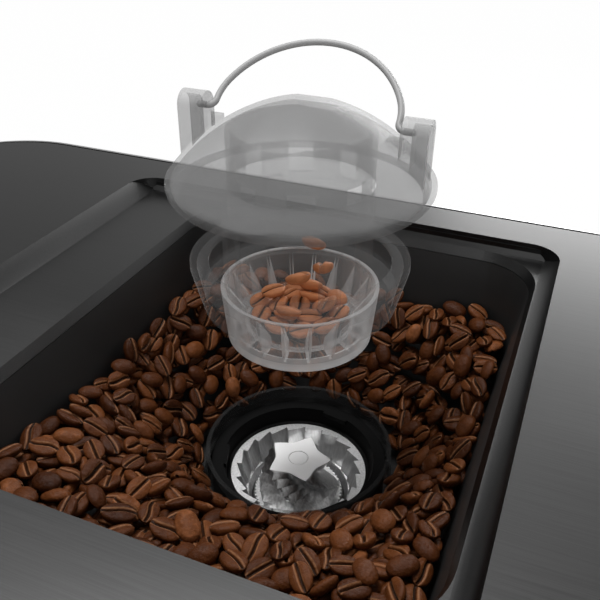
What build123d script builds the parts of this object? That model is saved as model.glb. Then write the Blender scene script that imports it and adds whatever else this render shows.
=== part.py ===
from build123d import *
from math import atan, cos, degrees, pi, radians, sin, sqrt, tan
import os

os.makedirs("parts", exist_ok=True)

# A semi-automatic espresso machine with a built-in conical burr grinder.
# Millimetres, +Z up, the front faces -Y, the origin lies under the middle of the footprint.

# Overall envelope
machine_w = 380.0
footprint_d = 312.0
panel_z = 400.0
head_d = 247.0
head_bottom_z = 275.0
column_d = 145.0
rear_corner_r = 55.0
front_corner_r = 40.0
left_x = -machine_w / 2
right_x = machine_w / 2
rear_y = footprint_d / 2
front_y = -footprint_d / 2
head_front_y = rear_y - head_d
column_front_y = rear_y - column_d

# Sheet, walls and clearances
shell_t = 2.2
lip_round = 1.0
seam_gap = 0.9
split_gap = 0.4
part_gap = 0.3
shaft_fit = 0.06
slide_gap = 0.3

# Base, feet and drip tray
foot_h = 8.0
foot_r = 14.0
foot_inset = 34.0
base_top_z = 40.0
base_floor_t = 4.0
base_rim_t = 6.0
rail_w = 24.7
tray_wall = 2.5
tray_lip = 1.2
grate_t = 2.0
grate_margin = 9.0
slot_w = 3.2
slot_pitch = 9.4
slot_bridge = 12.0
float_r = 9.0
float_stem_r = 3.4
float_y = -118.0

# Grinder axis and hopper recess, as distances from the grinder axis
grinder_x = right_x - 153.0
grinder_rear_d = 97.0
grinder_y = rear_y - grinder_rear_d
ring_drop = 80.0
ring_z = panel_z - ring_drop
recess_left = 112.0
recess_right = 80.3
recess_rear = 75.0
recess_front = 110.0
recess_corner_r = 11.5
ledge_drop = 5.7
ledge_foot = 9.5
rear_wall_drop = 3.6
rear_cove_w = 1.8
right_cove_w = 6.4
band_w = 8.4
band_step = 0.7
mouth_half_w = 73.8
mouth_corner_r = 23.0
mouth_bevel = 1.8
panel_t = 3.7
panel_frame_w = 3.0

# Hopper tub, beans and throat collar
tub_t = 2.0
tub_draft = 10.0
tub_wall_h = 42.0
tub_flange_w = 4.0
tub_flange_t = 2.4
throat_r = 37.2
tub_floor_h = 1.7
collar_r = 36.2
collar_t = 1.6
collar_top_h = 13.6
collar_foot_h = -6.0
collar_flange_r = 41.0
collar_flange_t = 1.6
bean_rim_drop = 36.0
bean_far_drop = 27.0
bean_low_h = 13.0

# Ring burr, cone burr and adjusting ring; heights are from the ring burr's top
burr_r = 27.0
burr_h = 19.0
burr_mouth_r = 25.2
burr_waist_r = 18.9
burr_waist_h = 13.5
burr_exit_r = 20.6
ring_teeth = 20
ring_tooth_turn = 87.5
ring_tooth_depth = 2.1
flute_low_r = 21.7
flute_low_depth = 1.3
flute_low_h = 10.3
cone_top_h = 5.8
cone_top_r = 13.0
cone_base_r = 19.7
cone_blades = 5
cone_blade_turn = 17.0
cone_twist = 88.0
fine_teeth = 60
fine_band_h = 8.0
fine_tooth_depth = 0.9
cone_hub_r = 9.0
bolt_r = 2.5
bolt_head_r = 3.9
bolt_head_h = 4.0
bolt_l = 17.0
adjust_mouth_r = 29.8
adjust_mouth_h = 6.6
adjust_tube_r = 34.2
adjust_flange_r = 50.0
adjust_flange_t = 3.5
crown_pitch_r = 45.0
crown_teeth = 90
crown_tooth_h = 2.2
crown_tooth_share = 0.36
crown_face = 6.0
dial_teeth = 10
dial_shaft_r = 3.0
bayonet_tabs = 3
tab_reach = 1.6

# Grinder housing, shaft and drive
shelf_t = 4.0
shelf_z = head_bottom_z + 1.0
housing_r = 42.0
housing_bore_r = 37.0
housing_floor_t = 4.7
housing_lug_r = 49.0
shaft_r = 5.0
bearing_r = 11.0
bearing_h = 7.0
sweeper_r = 31.0
sweeper_h = 9.0
gear_module = 1.0
gear_teeth = 60
pinion_teeth = 12
gear_h = 8.0
gear_backlash = 0.30
gearbox_h = 25.0
gearbox_wall = 2.5
motor_r = 28.0
motor_h = 98.0
motor_shaft_r = 3.0

# Grounds chute and portafilter cradle
chute_w = 30.0
chute_h = 17.2
chute_t = 2.5
outlet_y = -35.0
outlet_w = 26.0
outlet_bottom_z = 262.0
cradle_prong_w = 6.6
cradle_prong_h = 6.0
cradle_prong_l = 76.0
cradle_z = 246.0

# Lifted carrier of the grinder's clear parts, heights from the ring burr's top
carrier_travel = 67.4
feed_low_h = 67.7
feed_top_h = 86.6
feed_top_r = 27.0
feed_low_r = 25.2
feed_t = 1.3
feed_ribs = 18
feed_waist_r = 17.6
feed_band_h = 3.2
skirt_low_h = 81.3
skirt_low_r = 32.9
flange_h = 97.5
flange_r = 36.6
flange_hole_r = 30.5
cage_r = 23.4
cage_low_h = 112.1
cage_t = 1.6
cage_posts = 4
dome_rim_h = 124.8
dome_rim_r = 42.3
dome_top_h = 150.6
dome_t = 1.8
dome_crown_r = 39.5
ridge_slope = 11.0
dome_floor_t = 1.2
dome_floor_drop = 2.0
ear_in = 31.8
ear_out = 40.0
ear_r = 4.5
ear_back = 0.5
ear_low_h = 127.0
ear_cheek_t = 3.2
ear_wall = 1.5
ear_web_in = 27.0
ear_web_t = 3.0
ear_web_h = 141.6
bail_h = 144.0
bail_half_w = 32.0
bail_reach = 27.6
bail_wire_r = 1.0
bail_lean = 50.7
bail_pin_l = 3.2
bail_bend_r = 2.4
bail_leg = 2.6
bail_side_r = 17.6

# Brew group and portafilter
group_x = left_x + 100.0
group_y = -35.0
group_flange_r = 44.0
group_flange_t = 8.0
group_r = 39.0
group_low_z = 250.5
group_bore_r = 33.6
lug_channel_r = 36.7
lug_channel_low_z = 256.0
gasket_low_z = 263.5
gasket_h = 3.5
gasket_in_r = 28.5
screen_r = 27.8
screen_t = 2.0
filter_cup_r = 31.5
filter_cup_bore_r = 29.8
filter_rim_r = 33.0
filter_lug_r = 36.3
filter_lug_angle = 26.0
entry_angle = 34.0
basket_t = 0.8
basket_depth = 27.0
basket_play = 0.4
basket_corner_w = 2.2
basket_corner_h = 1.5
cup_floor_z = 226.0
spout_z = 214.0
spout_low_z = 195.0
spout_half_gap = 14.0
neck_r = 6.0
neck_z = 243.5
neck_l = 32.0
handle_l = 118.0
handle_r = 14.0
handle_tilt = 7.0

# Steam wand
wand_x = left_x + 25.0
wand_y = -20.0
ball_r = 9.0
trunnion_r = 2.5
trunnion_l = 3.2
ball_z = 266.0
wand_r = 4.0
socket_r = 13.0

# Boiler, pump, pipes
block_w = 90.0
block_d = 50.0
block_h = 66.0
block_y = 56.0
block_top_z = 262.0
fin_t = 3.0
fin_pitch = 9.0
pump_z = 62.0
pump_y = 56.0
pump_r = 19.0
pump_l = 62.0
pipe_r = 3.0

# Water tank and its bay
bay_side_gap = 3.0
bay_headroom = 1.5
bay_liner_t = 2.0
tank_w = 250.0
bay_w = tank_w + 2 * bay_side_gap
tank_front_y = 105.0
tank_top_z = 252.0
tank_wall = 2.5
tank_lid_t = 3.0
hinge_ear_w = 5.0
hinge_pin_r = 0.9
hinge_pin_l = 3.0
tank_corner_r = 9.0
tank_port_x = group_x + 75.0
tank_port_z = 60.0
tank_port_r = 6.0
bulkhead_t = 2.0
bay_top_z = ring_z - burr_h - bay_headroom - bay_liner_t

# Front controls
fascia_w = machine_w - 80.0
fascia_t = 3.0
control_z = 342.0
knob_r = 18.0
knob_h = 15.0
knob_flutes = 24
steam_dial_x = group_x - 32.0
gauge_x = group_x + 22.0
gauge_r = 27.0
gauge_can_r = 24.0
gauge_face_r = 22.5
button_x = group_x + 76.0
button_r = 9.0
button_rise = 15.0
button_travel = 2.5
power_x = right_x - 68.0
board_y = -79.5
board_t = 1.6
inlet_x = right_x - 90.0
inlet_w = 30.0
inlet_h = 22.0


def block(x0, x1, y0, y1, z0, z1):
    """A box between two opposite corners."""
    middle = Pos((x0 + x1) / 2, (y0 + y1) / 2, (z0 + z1) / 2)
    return middle * Box(x1 - x0, y1 - y0, z1 - z0)


def post(x, y, r, z0, z1):
    """An upright cylinder."""
    return Pos(x, y, (z0 + z1) / 2) * Cylinder(r, z1 - z0)


def rod_y(x, z, r, y0, y1):
    """A cylinder lying front to back."""
    return Pos(x, (y0 + y1) / 2, z) * Rot(90, 0, 0) * Cylinder(r, y1 - y0)


def rod_x(y, z, r, x0, x1):
    """A cylinder lying side to side."""
    return Pos((x0 + x1) / 2, y, z) * Rot(0, 90, 0) * Cylinder(r, x1 - x0)


def slab(face, z0, z1):
    """A plan outline raised from one height to another."""
    return extrude(Pos(0, 0, z0) * face, z1 - z0)


def turned(*points):
    """A profile of radius and height points, spun about the Z axis."""
    return revolve(Plane.XZ * make_face(Polyline(*points, close=True)), Axis.Z)


def at_grinder(solid):
    """Moves a piece drawn about the burr axis, with the ring burr's top at zero height."""
    return Pos(grinder_x, grinder_y, ring_z) * solid


def at_group(solid):
    """Moves a piece drawn about the brew group's axis, at its own heights."""
    return Pos(group_x, group_y, 0) * solid


def round_rect(x0, x1, y0, y1, r):
    """A rectangle with four equal round corners."""
    return Pos((x0 + x1) / 2, (y0 + y1) / 2) * RectangleRounded(x1 - x0, y1 - y0, r)


def plan(inset, front=head_front_y, front_r=front_corner_r):
    """The housing's outline seen from above, drawn in by an inset."""
    low = front + inset
    high = rear_y - inset
    face = Pos(0, (low + high) / 2) * Rectangle(machine_w - 2 * inset, high - low)
    face = fillet(face.vertices().sort_by(Axis.Y)[-2:], rear_corner_r - inset)
    return fillet(face.vertices().sort_by(Axis.Y)[:2], front_r - inset)


def star(points, r_out, r_in, turn, skew, z):
    """A many-pointed outline whose points lean to one side, like saw teeth."""
    step = 360.0 / points
    corners = []
    for i in range(points):
        tip = radians(i * step + turn)
        root = radians(i * step + turn + skew * step)
        corners.append((r_out * cos(tip), r_out * sin(tip)))
        corners.append((r_in * cos(root), r_in * sin(root)))
    return Pos(0, 0, z) * make_face(Polyline(*corners, close=True))


def saw(points, r_out, r_in, turn, z):
    """An outline that falls inward round each tooth and then steps straight out."""
    step = 360.0 / points
    corners = []
    for i in range(points):
        near = radians(i * step + turn)
        far = radians((i + 1) * step + turn)
        corners.append((r_out * cos(near), r_out * sin(near)))
        corners.append((r_in * cos(far), r_in * sin(far)))
    return Pos(0, 0, z) * make_face(Polyline(*corners, close=True))


def bladed(points, r_out, r_in, turn, z):
    """A star outline whose flanks are hollow, so that each point ends in a thin blade."""
    step = 360.0 / points
    corners = []
    for i in range(points * blade_flank_steps):
        share = (i % blade_flank_steps) / blade_flank_steps
        rise = abs(2 * share - 1) ** 1.8
        angle = radians(i * step / blade_flank_steps + turn)
        radius = r_in + (r_out - r_in) * rise
        corners.append((radius * cos(angle), radius * sin(angle)))
    return Pos(0, 0, z) * make_face(Polyline(*corners, close=True))


def spur(teeth, module, thickness_cut, z0, z1, turn=0.0):
    """A spur gear with straight tapered flanks."""
    pitch_r = teeth * module / 2
    step = 2 * pi / teeth
    half = step / 4 - thickness_cut / (2 * pitch_r)
    corners = []
    for i in range(teeth):
        middle = i * step + radians(turn)
        for share, r in ((-1.45, -1.2), (-0.5, 1.0), (0.5, 1.0), (1.45, -1.2)):
            angle = middle + share * half
            radius = pitch_r + r * module
            corners.append((radius * cos(angle), radius * sin(angle)))
    return slab(make_face(Polyline(*corners, close=True)), z0, z1)


def knob(x, z, r, h, flutes):
    """A fluted control knob in front of the fascia, with a pointer groove."""
    face_y = head_front_y - 0.5
    body = rod_y(x, z, r, face_y - h, face_y)
    body = chamfer(body.edges().group_by(Axis.Y)[0], 1.5)
    angles = [2 * pi * i / flutes for i in range(flutes)]
    cut_r = r + 0.9
    body -= [rod_y(x + cut_r * cos(a), z + cut_r * sin(a), 1.5, face_y - h - 1, face_y - 3) for a in angles]
    body -= block(x - 0.8, x + 0.8, face_y - h - 1, face_y - h + 0.6, z + r * 0.35, z + r * 0.9)
    return body


def pipe(r, bends, *points):
    """A round pipe along straight runs joined by equal bends."""
    path = FilletPolyline(*points, radius=bends)
    start = path @ 0
    section = Plane(origin=start, z_dir=path % 0) * Circle(r)
    return sweep(section, path=path)


# Base pan, open at the front for the drip tray
base_plan = plan(0, front_y, front_corner_r)
tray_half_w = machine_w / 2 - rail_w
tray_back_y = column_front_y - 1.0
base_floor_z = foot_h + base_floor_t
base = slab(base_plan, foot_h, base_top_z)
base = chamfer(base.edges().group_by(Axis.Z)[0], 2.0)
cavity_y = (column_front_y + base_rim_t, rear_y - column_d + 93.0)
base -= block(left_x + base_rim_t, right_x - base_rim_t, *cavity_y, base_floor_z, base_top_z + 1)
base -= block(
    -tray_half_w - slide_gap,
    tray_half_w + slide_gap,
    front_y - 1,
    tray_back_y + slide_gap,
    base_floor_z,
    base_top_z + 1,
)
pump_front_x = group_x + pump_l / 2
for saddle_x in (group_x - 18.0, group_x + 18.0):
    saddle = block(saddle_x - 5, saddle_x + 5, pump_y - 15, pump_y + 15, base_floor_z, pump_z - 8)
    base += saddle - rod_x(pump_y, pump_z, pump_r + part_gap, saddle_x - 6, saddle_x + 6)
inlet_z = (foot_h + base_top_z) / 2
base -= block(
    inlet_x - inlet_w / 2 - part_gap,
    inlet_x + inlet_w / 2 + part_gap,
    rear_y - 22,
    rear_y + 1,
    inlet_z - inlet_h / 2 - part_gap,
    inlet_z + inlet_h / 2 + part_gap,
)

# Rubber feet
foot_x = machine_w / 2 - foot_inset
foot_y = footprint_d / 2 - foot_inset
foot = chamfer(Cylinder(foot_r, foot_h).edges().group_by(Axis.Z)[0], 1.5)
feet = [Pos(sx * foot_x, sy * foot_y, foot_h / 2) * foot for sx in (-1, 1) for sy in (-1, 1)]

# Steel wrap: one bent outline, cut into a rear cover and two sides
outer = slab(plan(0), base_top_z, panel_z)
outer = fillet(outer.edges().group_by(Axis.Z)[-1], lip_round)
wrap = outer - slab(plan(shell_t), base_top_z - 1, panel_z + 1)
cup_space = block(
    -machine_w,
    machine_w,
    head_front_y - 50,
    column_front_y,
    base_top_z - 20,
    head_bottom_z,
)
inner_edge = cup_space.edges().filter_by(Axis.X).sort_by(Axis.Y)[-2:].sort_by(Axis.Z)[-1]
wrap -= fillet(inner_edge, 16.0)
wrap -= block(
    -fascia_w / 2,
    fascia_w / 2,
    head_front_y - 1,
    head_front_y + shell_t + 1,
    head_bottom_z - 1,
    panel_z + 1,
)
wrap -= block(-bay_w / 2, bay_w / 2, rear_y - shell_t - 1, rear_y + 1, base_top_z - 1, bay_top_z)
rear_split_y = rear_y - rear_corner_r
rear_cover = wrap & block(-machine_w, machine_w, rear_split_y, rear_y + 1, 0, panel_z + 1)
side_zone = block(-machine_w, 0, head_front_y - 1, rear_split_y - split_gap, 0, panel_z + 1)
side_left = wrap & side_zone
side_right = wrap & mirror(side_zone, Plane.YZ)

# Tank bay liner and air slots on the rear cover
liner_front_y = tank_front_y - 1.0
liner_outer = block(
    -bay_w / 2 - bay_liner_t,
    bay_w / 2 + bay_liner_t,
    liner_front_y,
    rear_y - shell_t,
    base_top_z + part_gap,
    bay_top_z + bay_liner_t,
)
liner_inner = block(-bay_w / 2, bay_w / 2, liner_front_y - 1, rear_y, base_top_z - 1, bay_top_z)
rear_cover += liner_outer - liner_inner
air_slots = []
for i in range(7):
    slot_z = bay_top_z + 22.0 + i * 8.0
    for slot_x in (-62.0, 62.0):
        air_slot = Plane.XZ.offset(-rear_y - 1) * Pos(slot_x, slot_z) * SlotOverall(80.0, 3.0)
        air_slots.append(extrude(air_slot, shell_t + 3))
rear_cover -= air_slots

# Column front, bulkhead and main shelf
column_front = block(
    -machine_w / 2 + shell_t + split_gap,
    machine_w / 2 - shell_t - split_gap,
    column_front_y,
    column_front_y + fascia_t,
    base_top_z,
    shelf_z,
)
bulkhead_y = cavity_y[1] - bulkhead_t - part_gap
bulkhead = block(left_x + 40.0, right_x - 40.0, bulkhead_y, bulkhead_y + bulkhead_t, base_floor_z, shelf_z)
bulkhead -= rod_y(tank_port_x, tank_port_z, tank_port_r + 1.0, bulkhead_y - 1, bulkhead_y + 5)
shelf_plan = plan(shell_t + split_gap)
shelf_top_z = shelf_z + shelf_t
shelf = slab(shelf_plan, shelf_z, shelf_top_z)
shelf &= block(-machine_w, machine_w, head_front_y + fascia_t, cavity_y[1], 0, panel_z)
shelf -= post(group_x, group_y, group_r + part_gap, shelf_z - 1, shelf_top_z + 1)
outlet_half = outlet_w / 2
shelf -= block(
    grinder_x - outlet_half - part_gap,
    grinder_x + outlet_half + part_gap,
    outlet_y - outlet_half - part_gap,
    outlet_y + outlet_half + part_gap,
    shelf_z - 1,
    shelf_top_z + 1,
)
shelf -= post(grinder_x, grinder_y, bearing_r + 3.0 + part_gap, shelf_z - 1, shelf_top_z + 1)
shelf += post(wand_x, wand_y, socket_r, ball_z - 5, shelf_z)
shelf -= Pos(wand_x, wand_y, ball_z) * Sphere(ball_r + part_gap)
shelf -= rod_y(
    wand_x,
    ball_z,
    trunnion_r + shaft_fit,
    wand_y - ball_r - trunnion_l - part_gap,
    wand_y + ball_r + trunnion_l + part_gap,
)
brew_pipe_x = group_x
steam_pipe_x = steam_dial_x
for pipe_x in (brew_pipe_x, steam_pipe_x):
    shelf -= post(pipe_x, block_y, pipe_r + 1.0, shelf_z - 1, shelf_top_z + 1)
shelf -= post(wand_x, wand_y, pipe_r + part_gap, shelf_z - 1, shelf_top_z + 1)

# Top panel with the sunk seat round the hopper
gx0 = grinder_x - recess_left
gx1 = grinder_x + recess_right
gy0 = grinder_y - recess_front
gy1 = grinder_y + recess_rear
panel = slab(plan(shell_t + seam_gap), panel_z - panel_t, panel_z)
panel = fillet(panel.edges().group_by(Axis.Z)[-1], 0.6)
frame_plan = round_rect(
    gx0 - panel_frame_w,
    gx1 + panel_frame_w,
    gy0 - panel_frame_w,
    gy1 + panel_frame_w,
    recess_corner_r + panel_frame_w,
)
panel += slab(frame_plan, panel_z - ledge_foot, panel_z - panel_t)
ledge_z = panel_z - ledge_drop
band_x = grinder_x - mouth_half_w - band_w
band_z = ledge_z - band_step
channel_low = ((gx0 + band_x) / 2 - 4.0, ledge_z - 1.6)
channel = make_face(
    Curve()
    + [
        ThreePointArc((gx0, panel_z), channel_low, (band_x, band_z)),
        Polyline((band_x, band_z), (band_x, ledge_z), (gx1 - right_cove_w, ledge_z)),
        ThreePointArc(
            (gx1 - right_cove_w, ledge_z),
            (gx1 - right_cove_w * 0.35, panel_z - ledge_drop * 0.62),
            (gx1, panel_z),
        ),
        Polyline((gx1, panel_z), (gx1, panel_z + 2), (gx0, panel_z + 2), (gx0, panel_z)),
    ]
)
cove_z = panel_z - rear_wall_drop
step_z = panel_z - rear_wall_drop / 2
across = make_face(
    Polyline(
        (gy0, panel_z + 2),
        (gy0, step_z),
        (gy0 + 0.6, step_z),
        (gy0 + 0.6, cove_z),
        (gy0 + rear_cove_w, ledge_z),
        (gy1 - rear_cove_w, ledge_z),
        (gy1 - 0.6, cove_z),
        (gy1 - 0.6, step_z),
        (gy1, step_z),
        (gy1, panel_z + 2),
        close=True,
    )
)
side_to_side = extrude(Plane.XZ * channel, recess_rear + recess_front, both=True)
front_to_back = extrude(Plane.YZ * across, machine_w, both=True)
recess_plan = round_rect(gx0, gx1, gy0, gy1, recess_corner_r)
seat_cut = Pos(0, grinder_y, 0) * side_to_side & front_to_back
panel -= seat_cut & slab(recess_plan, ledge_z - 2, panel_z + 2)
mx0 = grinder_x - mouth_half_w
mx1 = grinder_x + mouth_half_w
my0 = gy0 + rear_cove_w
my1 = gy1 - rear_cove_w
mouth_plan = round_rect(mx0, mx1, my0, my1, mouth_corner_r)
bevel_angle = degrees(atan(mouth_bevel / (ledge_foot - ledge_drop)))
panel -= extrude(Pos(0, 0, ledge_z) * mouth_plan, -(ledge_foot - ledge_drop), taper=bevel_angle)
panel -= slab(mouth_plan, ledge_z, panel_z + 1)

# Hopper tub: drafted walls, then a floor that funnels to the throat
tub_top_z = panel_z - ledge_foot - part_gap
tub_low_z = tub_top_z - tub_wall_h
draft_in = tub_wall_h * tan(radians(tub_draft))
floor_z = ring_z + tub_floor_h


def tub_plan(grow, z, drawn_in):
    """The tub's inside outline at a height, drawn in by its draft."""
    inset = mouth_bevel + drawn_in - grow
    face = round_rect(mx0 + inset, mx1 - inset, my0 + inset, my1 - inset, mouth_corner_r - inset)
    return Pos(0, 0, z) * face


def throat_plan(r, z):
    """The round outline at the tub's throat."""
    return Pos(grinder_x, grinder_y, z) * Circle(r)


def tub_hollow(grow):
    """The tub's inside space, grown outwards or drawn inwards."""
    walls = loft([tub_plan(grow, tub_top_z, 0), tub_plan(grow, tub_low_z, draft_in)], ruled=True)
    funnel = loft(
        [tub_plan(grow, tub_low_z, draft_in), throat_plan(throat_r + 4 + grow, floor_z - grow)],
        ruled=True,
    )
    return walls + funnel


tub = tub_hollow(tub_t) - tub_hollow(0)
flange_plan = round_rect(
    mx0 - tub_flange_w,
    mx1 + tub_flange_w,
    my0 - tub_flange_w,
    my1 + tub_flange_w,
    mouth_corner_r + tub_flange_w,
)
tub += slab(flange_plan, tub_top_z - tub_flange_t, tub_top_z) - tub_hollow(0.5)
tub -= post(grinder_x, grinder_y, throat_r, floor_z - 5, floor_z + 5)

# Throat collar, clear, standing in the tub's throat
collar = turned(
    (collar_r - collar_t, collar_foot_h),
    (collar_r, collar_foot_h),
    (collar_r, tub_floor_h + part_gap),
    (collar_flange_r, tub_floor_h + part_gap),
    (collar_flange_r, tub_floor_h + part_gap + collar_flange_t),
    (collar_r, tub_floor_h + part_gap + collar_flange_t),
    (collar_r, collar_top_h),
    (collar_r - collar_t, collar_top_h),
)

# Beans as one bed with a bowl worn down to the collar
bed = tub_hollow(-part_gap)
bowl_far_r = recess_front + recess_left - mouth_half_w
bowl = turned(
    (0, bean_low_h),
    (collar_r + 2.0, bean_low_h),
    (recess_rear - 9.0, ring_drop - bean_rim_drop),
    (bowl_far_r, ring_drop - bean_far_drop),
    (bowl_far_r, ring_drop),
    (0, ring_drop),
)
bed -= at_grinder(bowl)
bed -= post(grinder_x, grinder_y, collar_r + part_gap, ring_z - 10, panel_z)
bed -= post(grinder_x, grinder_y, collar_flange_r + part_gap, ring_z - 10, ring_z + tub_floor_h + 2.2)

# Ring burr: saw teeth down its funnel, which closes to a waist and opens again to the exit
ring_burr = post(0, 0, burr_r, -burr_h, 0)
flutes_top = saw(ring_teeth, burr_mouth_r, burr_mouth_r - ring_tooth_depth, ring_tooth_turn, 0)
flutes_low = saw(ring_teeth, flute_low_r, flute_low_r - flute_low_depth, ring_tooth_turn, -flute_low_h)
ring_burr -= loft([flutes_top, flutes_low], ruled=True)
ring_burr -= turned(
    (0, -flute_low_h),
    (flute_low_r - flute_low_depth, -flute_low_h),
    (burr_waist_r, -burr_waist_h),
    (burr_exit_r, -burr_h),
    (0, -burr_h),
)

# Cone burr: five hollow-flanked blades that wind down to a band of fine teeth
cone_low_h = -burr_h
fine_top_h = cone_low_h + fine_band_h
fine_top_r = cone_base_r - 1.8
blade_flank_steps = 10
blade_steps = 7
blade_sections = []
for i in range(blade_steps + 1):
    share = i / blade_steps
    height = cone_top_h + share * (fine_top_h - cone_top_h)
    tip_r = cone_top_r + share**0.8 * (fine_top_r - 0.3 - cone_top_r)
    root_r = cone_hub_r + share**3 * (fine_top_r - 2.4 - cone_hub_r)
    turn = cone_blade_turn + share * cone_twist
    blade_sections.append(bladed(cone_blades, tip_r, root_r, turn, height))
cone_burr = loft(blade_sections, ruled=True)
fine_low = star(fine_teeth, cone_base_r, cone_base_r - fine_tooth_depth, 0.0, 0.7, cone_low_h)
fine_top = star(fine_teeth, fine_top_r, fine_top_r - fine_tooth_depth, 4.0, 0.7, fine_top_h)
cone_burr += loft([fine_low, fine_top], ruled=True)
shaft_top_h = cone_top_h - bolt_head_h - 2.0
sweeper_top_h = -24.0
cone_burr += post(0, 0, cone_hub_r, sweeper_top_h, cone_low_h)
cone_burr -= post(0, 0, shaft_r + shaft_fit, sweeper_top_h - 1, shaft_top_h)
cone_burr -= post(0, 0, bolt_r + shaft_fit, shaft_top_h - 1, cone_top_h)
cone_burr -= post(0, 0, bolt_head_r + shaft_fit, cone_top_h - bolt_head_h, cone_top_h + 1)

# Adjusting ring: burr seat and mouth with bayonet tabs
flange_top_h = -burr_h + adjust_flange_t
adjusting_ring = turned(
    (adjust_mouth_r, adjust_mouth_h),
    (adjust_tube_r, adjust_mouth_h),
    (adjust_tube_r, -burr_h),
    (housing_bore_r - part_gap, -burr_h),
    (housing_bore_r - part_gap, -burr_h - 3.0),
    (33.0, -burr_h - 3.0),
    (33.0, -burr_h - 2.0),
    (burr_exit_r + 1.5, -burr_h - 2.0),
    (burr_exit_r + 1.5, -burr_h),
    (burr_r + shaft_fit, -burr_h),
    (burr_r + shaft_fit, 0.6),
    (adjust_mouth_r - 1.4, 0.6),
)
for i in range(bayonet_tabs):
    tab = block(adjust_mouth_r - tab_reach, adjust_mouth_r + 1.0, -5.5, 5.5, -2.0, 0)
    tab = Pos(0, 0, adjust_mouth_h) * tab
    adjusting_ring += Rot(0, 0, 80.0 + i * 360.0 / bayonet_tabs) * tab

# Crown gear pressed round the adjusting ring's tube
crown_bore_r = adjust_tube_r + shaft_fit
crown_gear = turned(
    (crown_bore_r, -burr_h),
    (adjust_flange_r, -burr_h),
    (adjust_flange_r, flange_top_h),
    (crown_pitch_r + crown_face / 2, flange_top_h),
    (crown_pitch_r + crown_face / 2, flange_top_h + crown_tooth_h),
    (crown_pitch_r - crown_face / 2, flange_top_h + crown_tooth_h),
    (crown_pitch_r - crown_face / 2, flange_top_h),
    (crown_bore_r, flange_top_h),
)
crown_step = 360.0 / crown_teeth
gap_w = 2 * pi * crown_pitch_r / crown_teeth * (1 - crown_tooth_share)
gap = block(crown_pitch_r - 4, crown_pitch_r + 4, -gap_w / 2, gap_w / 2, flange_top_h, flange_top_h + 4)
crown_gear -= [Rot(0, 0, -90.0 + i * crown_step) * gap for i in range(crown_teeth)]

# Grinder housing on the shelf, with the bearing seat and the chute port
housing_top_z = ring_z - burr_h - part_gap
housing_floor_z = shelf_top_z + housing_floor_t
housing = post(grinder_x, grinder_y, housing_r, shelf_top_z, housing_top_z)
for i in range(3):
    lug_angle = radians(-30.0 + i * 120.0)
    lug_x = grinder_x + housing_lug_r * cos(lug_angle)
    lug_y = grinder_y + housing_lug_r * sin(lug_angle)
    lug = post(lug_x, lug_y, 6.0, shelf_top_z, shelf_top_z + 6.0)
    lug += Pos(grinder_x, grinder_y, shelf_top_z + 3.0) * Rot(0, 0, degrees(lug_angle)) * block(
        housing_r - 4, housing_lug_r, -6, 6, -3, 3
    )
    housing += lug
housing -= post(grinder_x, grinder_y, housing_bore_r, housing_floor_z, housing_top_z + 1)
housing += post(grinder_x, grinder_y, bearing_r + 3.0, shelf_z, shelf_top_z + 0.5)
bearing_z0 = shelf_z + 1.0
housing -= post(grinder_x, grinder_y, bearing_r + shaft_fit, bearing_z0, housing_floor_z + 1)
housing -= post(grinder_x, grinder_y, shaft_r + 1.5, shelf_z - 1, bearing_z0 + 1)
port_low_z = housing_floor_z + 1.0
port_top_z = port_low_z + chute_h - 2 * chute_t
port_half = chute_w / 2 - chute_t
chute_back_y = grinder_y - housing_r + 2.6
housing -= block(
    grinder_x - port_half,
    grinder_x + port_half,
    grinder_y - housing_r - 5,
    grinder_y - housing_bore_r + 3,
    port_low_z,
    port_top_z - 1.0,
)
housing -= block(
    grinder_x - chute_w / 2 - part_gap,
    grinder_x + chute_w / 2 + part_gap,
    grinder_y - housing_r - 5,
    chute_back_y + part_gap,
    housing_floor_z - 2.0,
    housing_top_z + 1,
)

# Screws that hold the housing lugs to the shelf
screws = []
for i in range(3):
    lug_angle = radians(-30.0 + i * 120.0)
    lug_x = grinder_x + housing_lug_r * cos(lug_angle)
    lug_y = grinder_y + housing_lug_r * sin(lug_angle)
    hole = post(lug_x, lug_y, 2.0 + shaft_fit, shelf_z - 1, shelf_top_z + 8.0)
    housing -= hole
    shelf -= hole
    head = post(lug_x, lug_y, 4.0, shelf_top_z + 6.0, shelf_top_z + 8.6)
    socket = Pos(lug_x, lug_y, shelf_top_z + 7.4) * extrude(RegularPolygon(2.0, 6), 2.0)
    screws.append(head + post(lug_x, lug_y, 2.0, shelf_z, shelf_top_z + 6.0) - socket)
for i in range(4):
    hole_x = group_x + (group_flange_r - 2.6) * cos(radians(45 + 90 * i)) * 0.98
    hole_y = group_y + (group_flange_r - 2.6) * sin(radians(45 + 90 * i)) * 0.98
    head = post(hole_x, hole_y, 3.2, shelf_top_z + group_flange_t, shelf_top_z + group_flange_t + 2.4)
    socket = Pos(hole_x, hole_y, shelf_top_z + group_flange_t + 1.2) * extrude(RegularPolygon(1.6, 6), 2.0)
    screws.append(head - socket)

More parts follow.
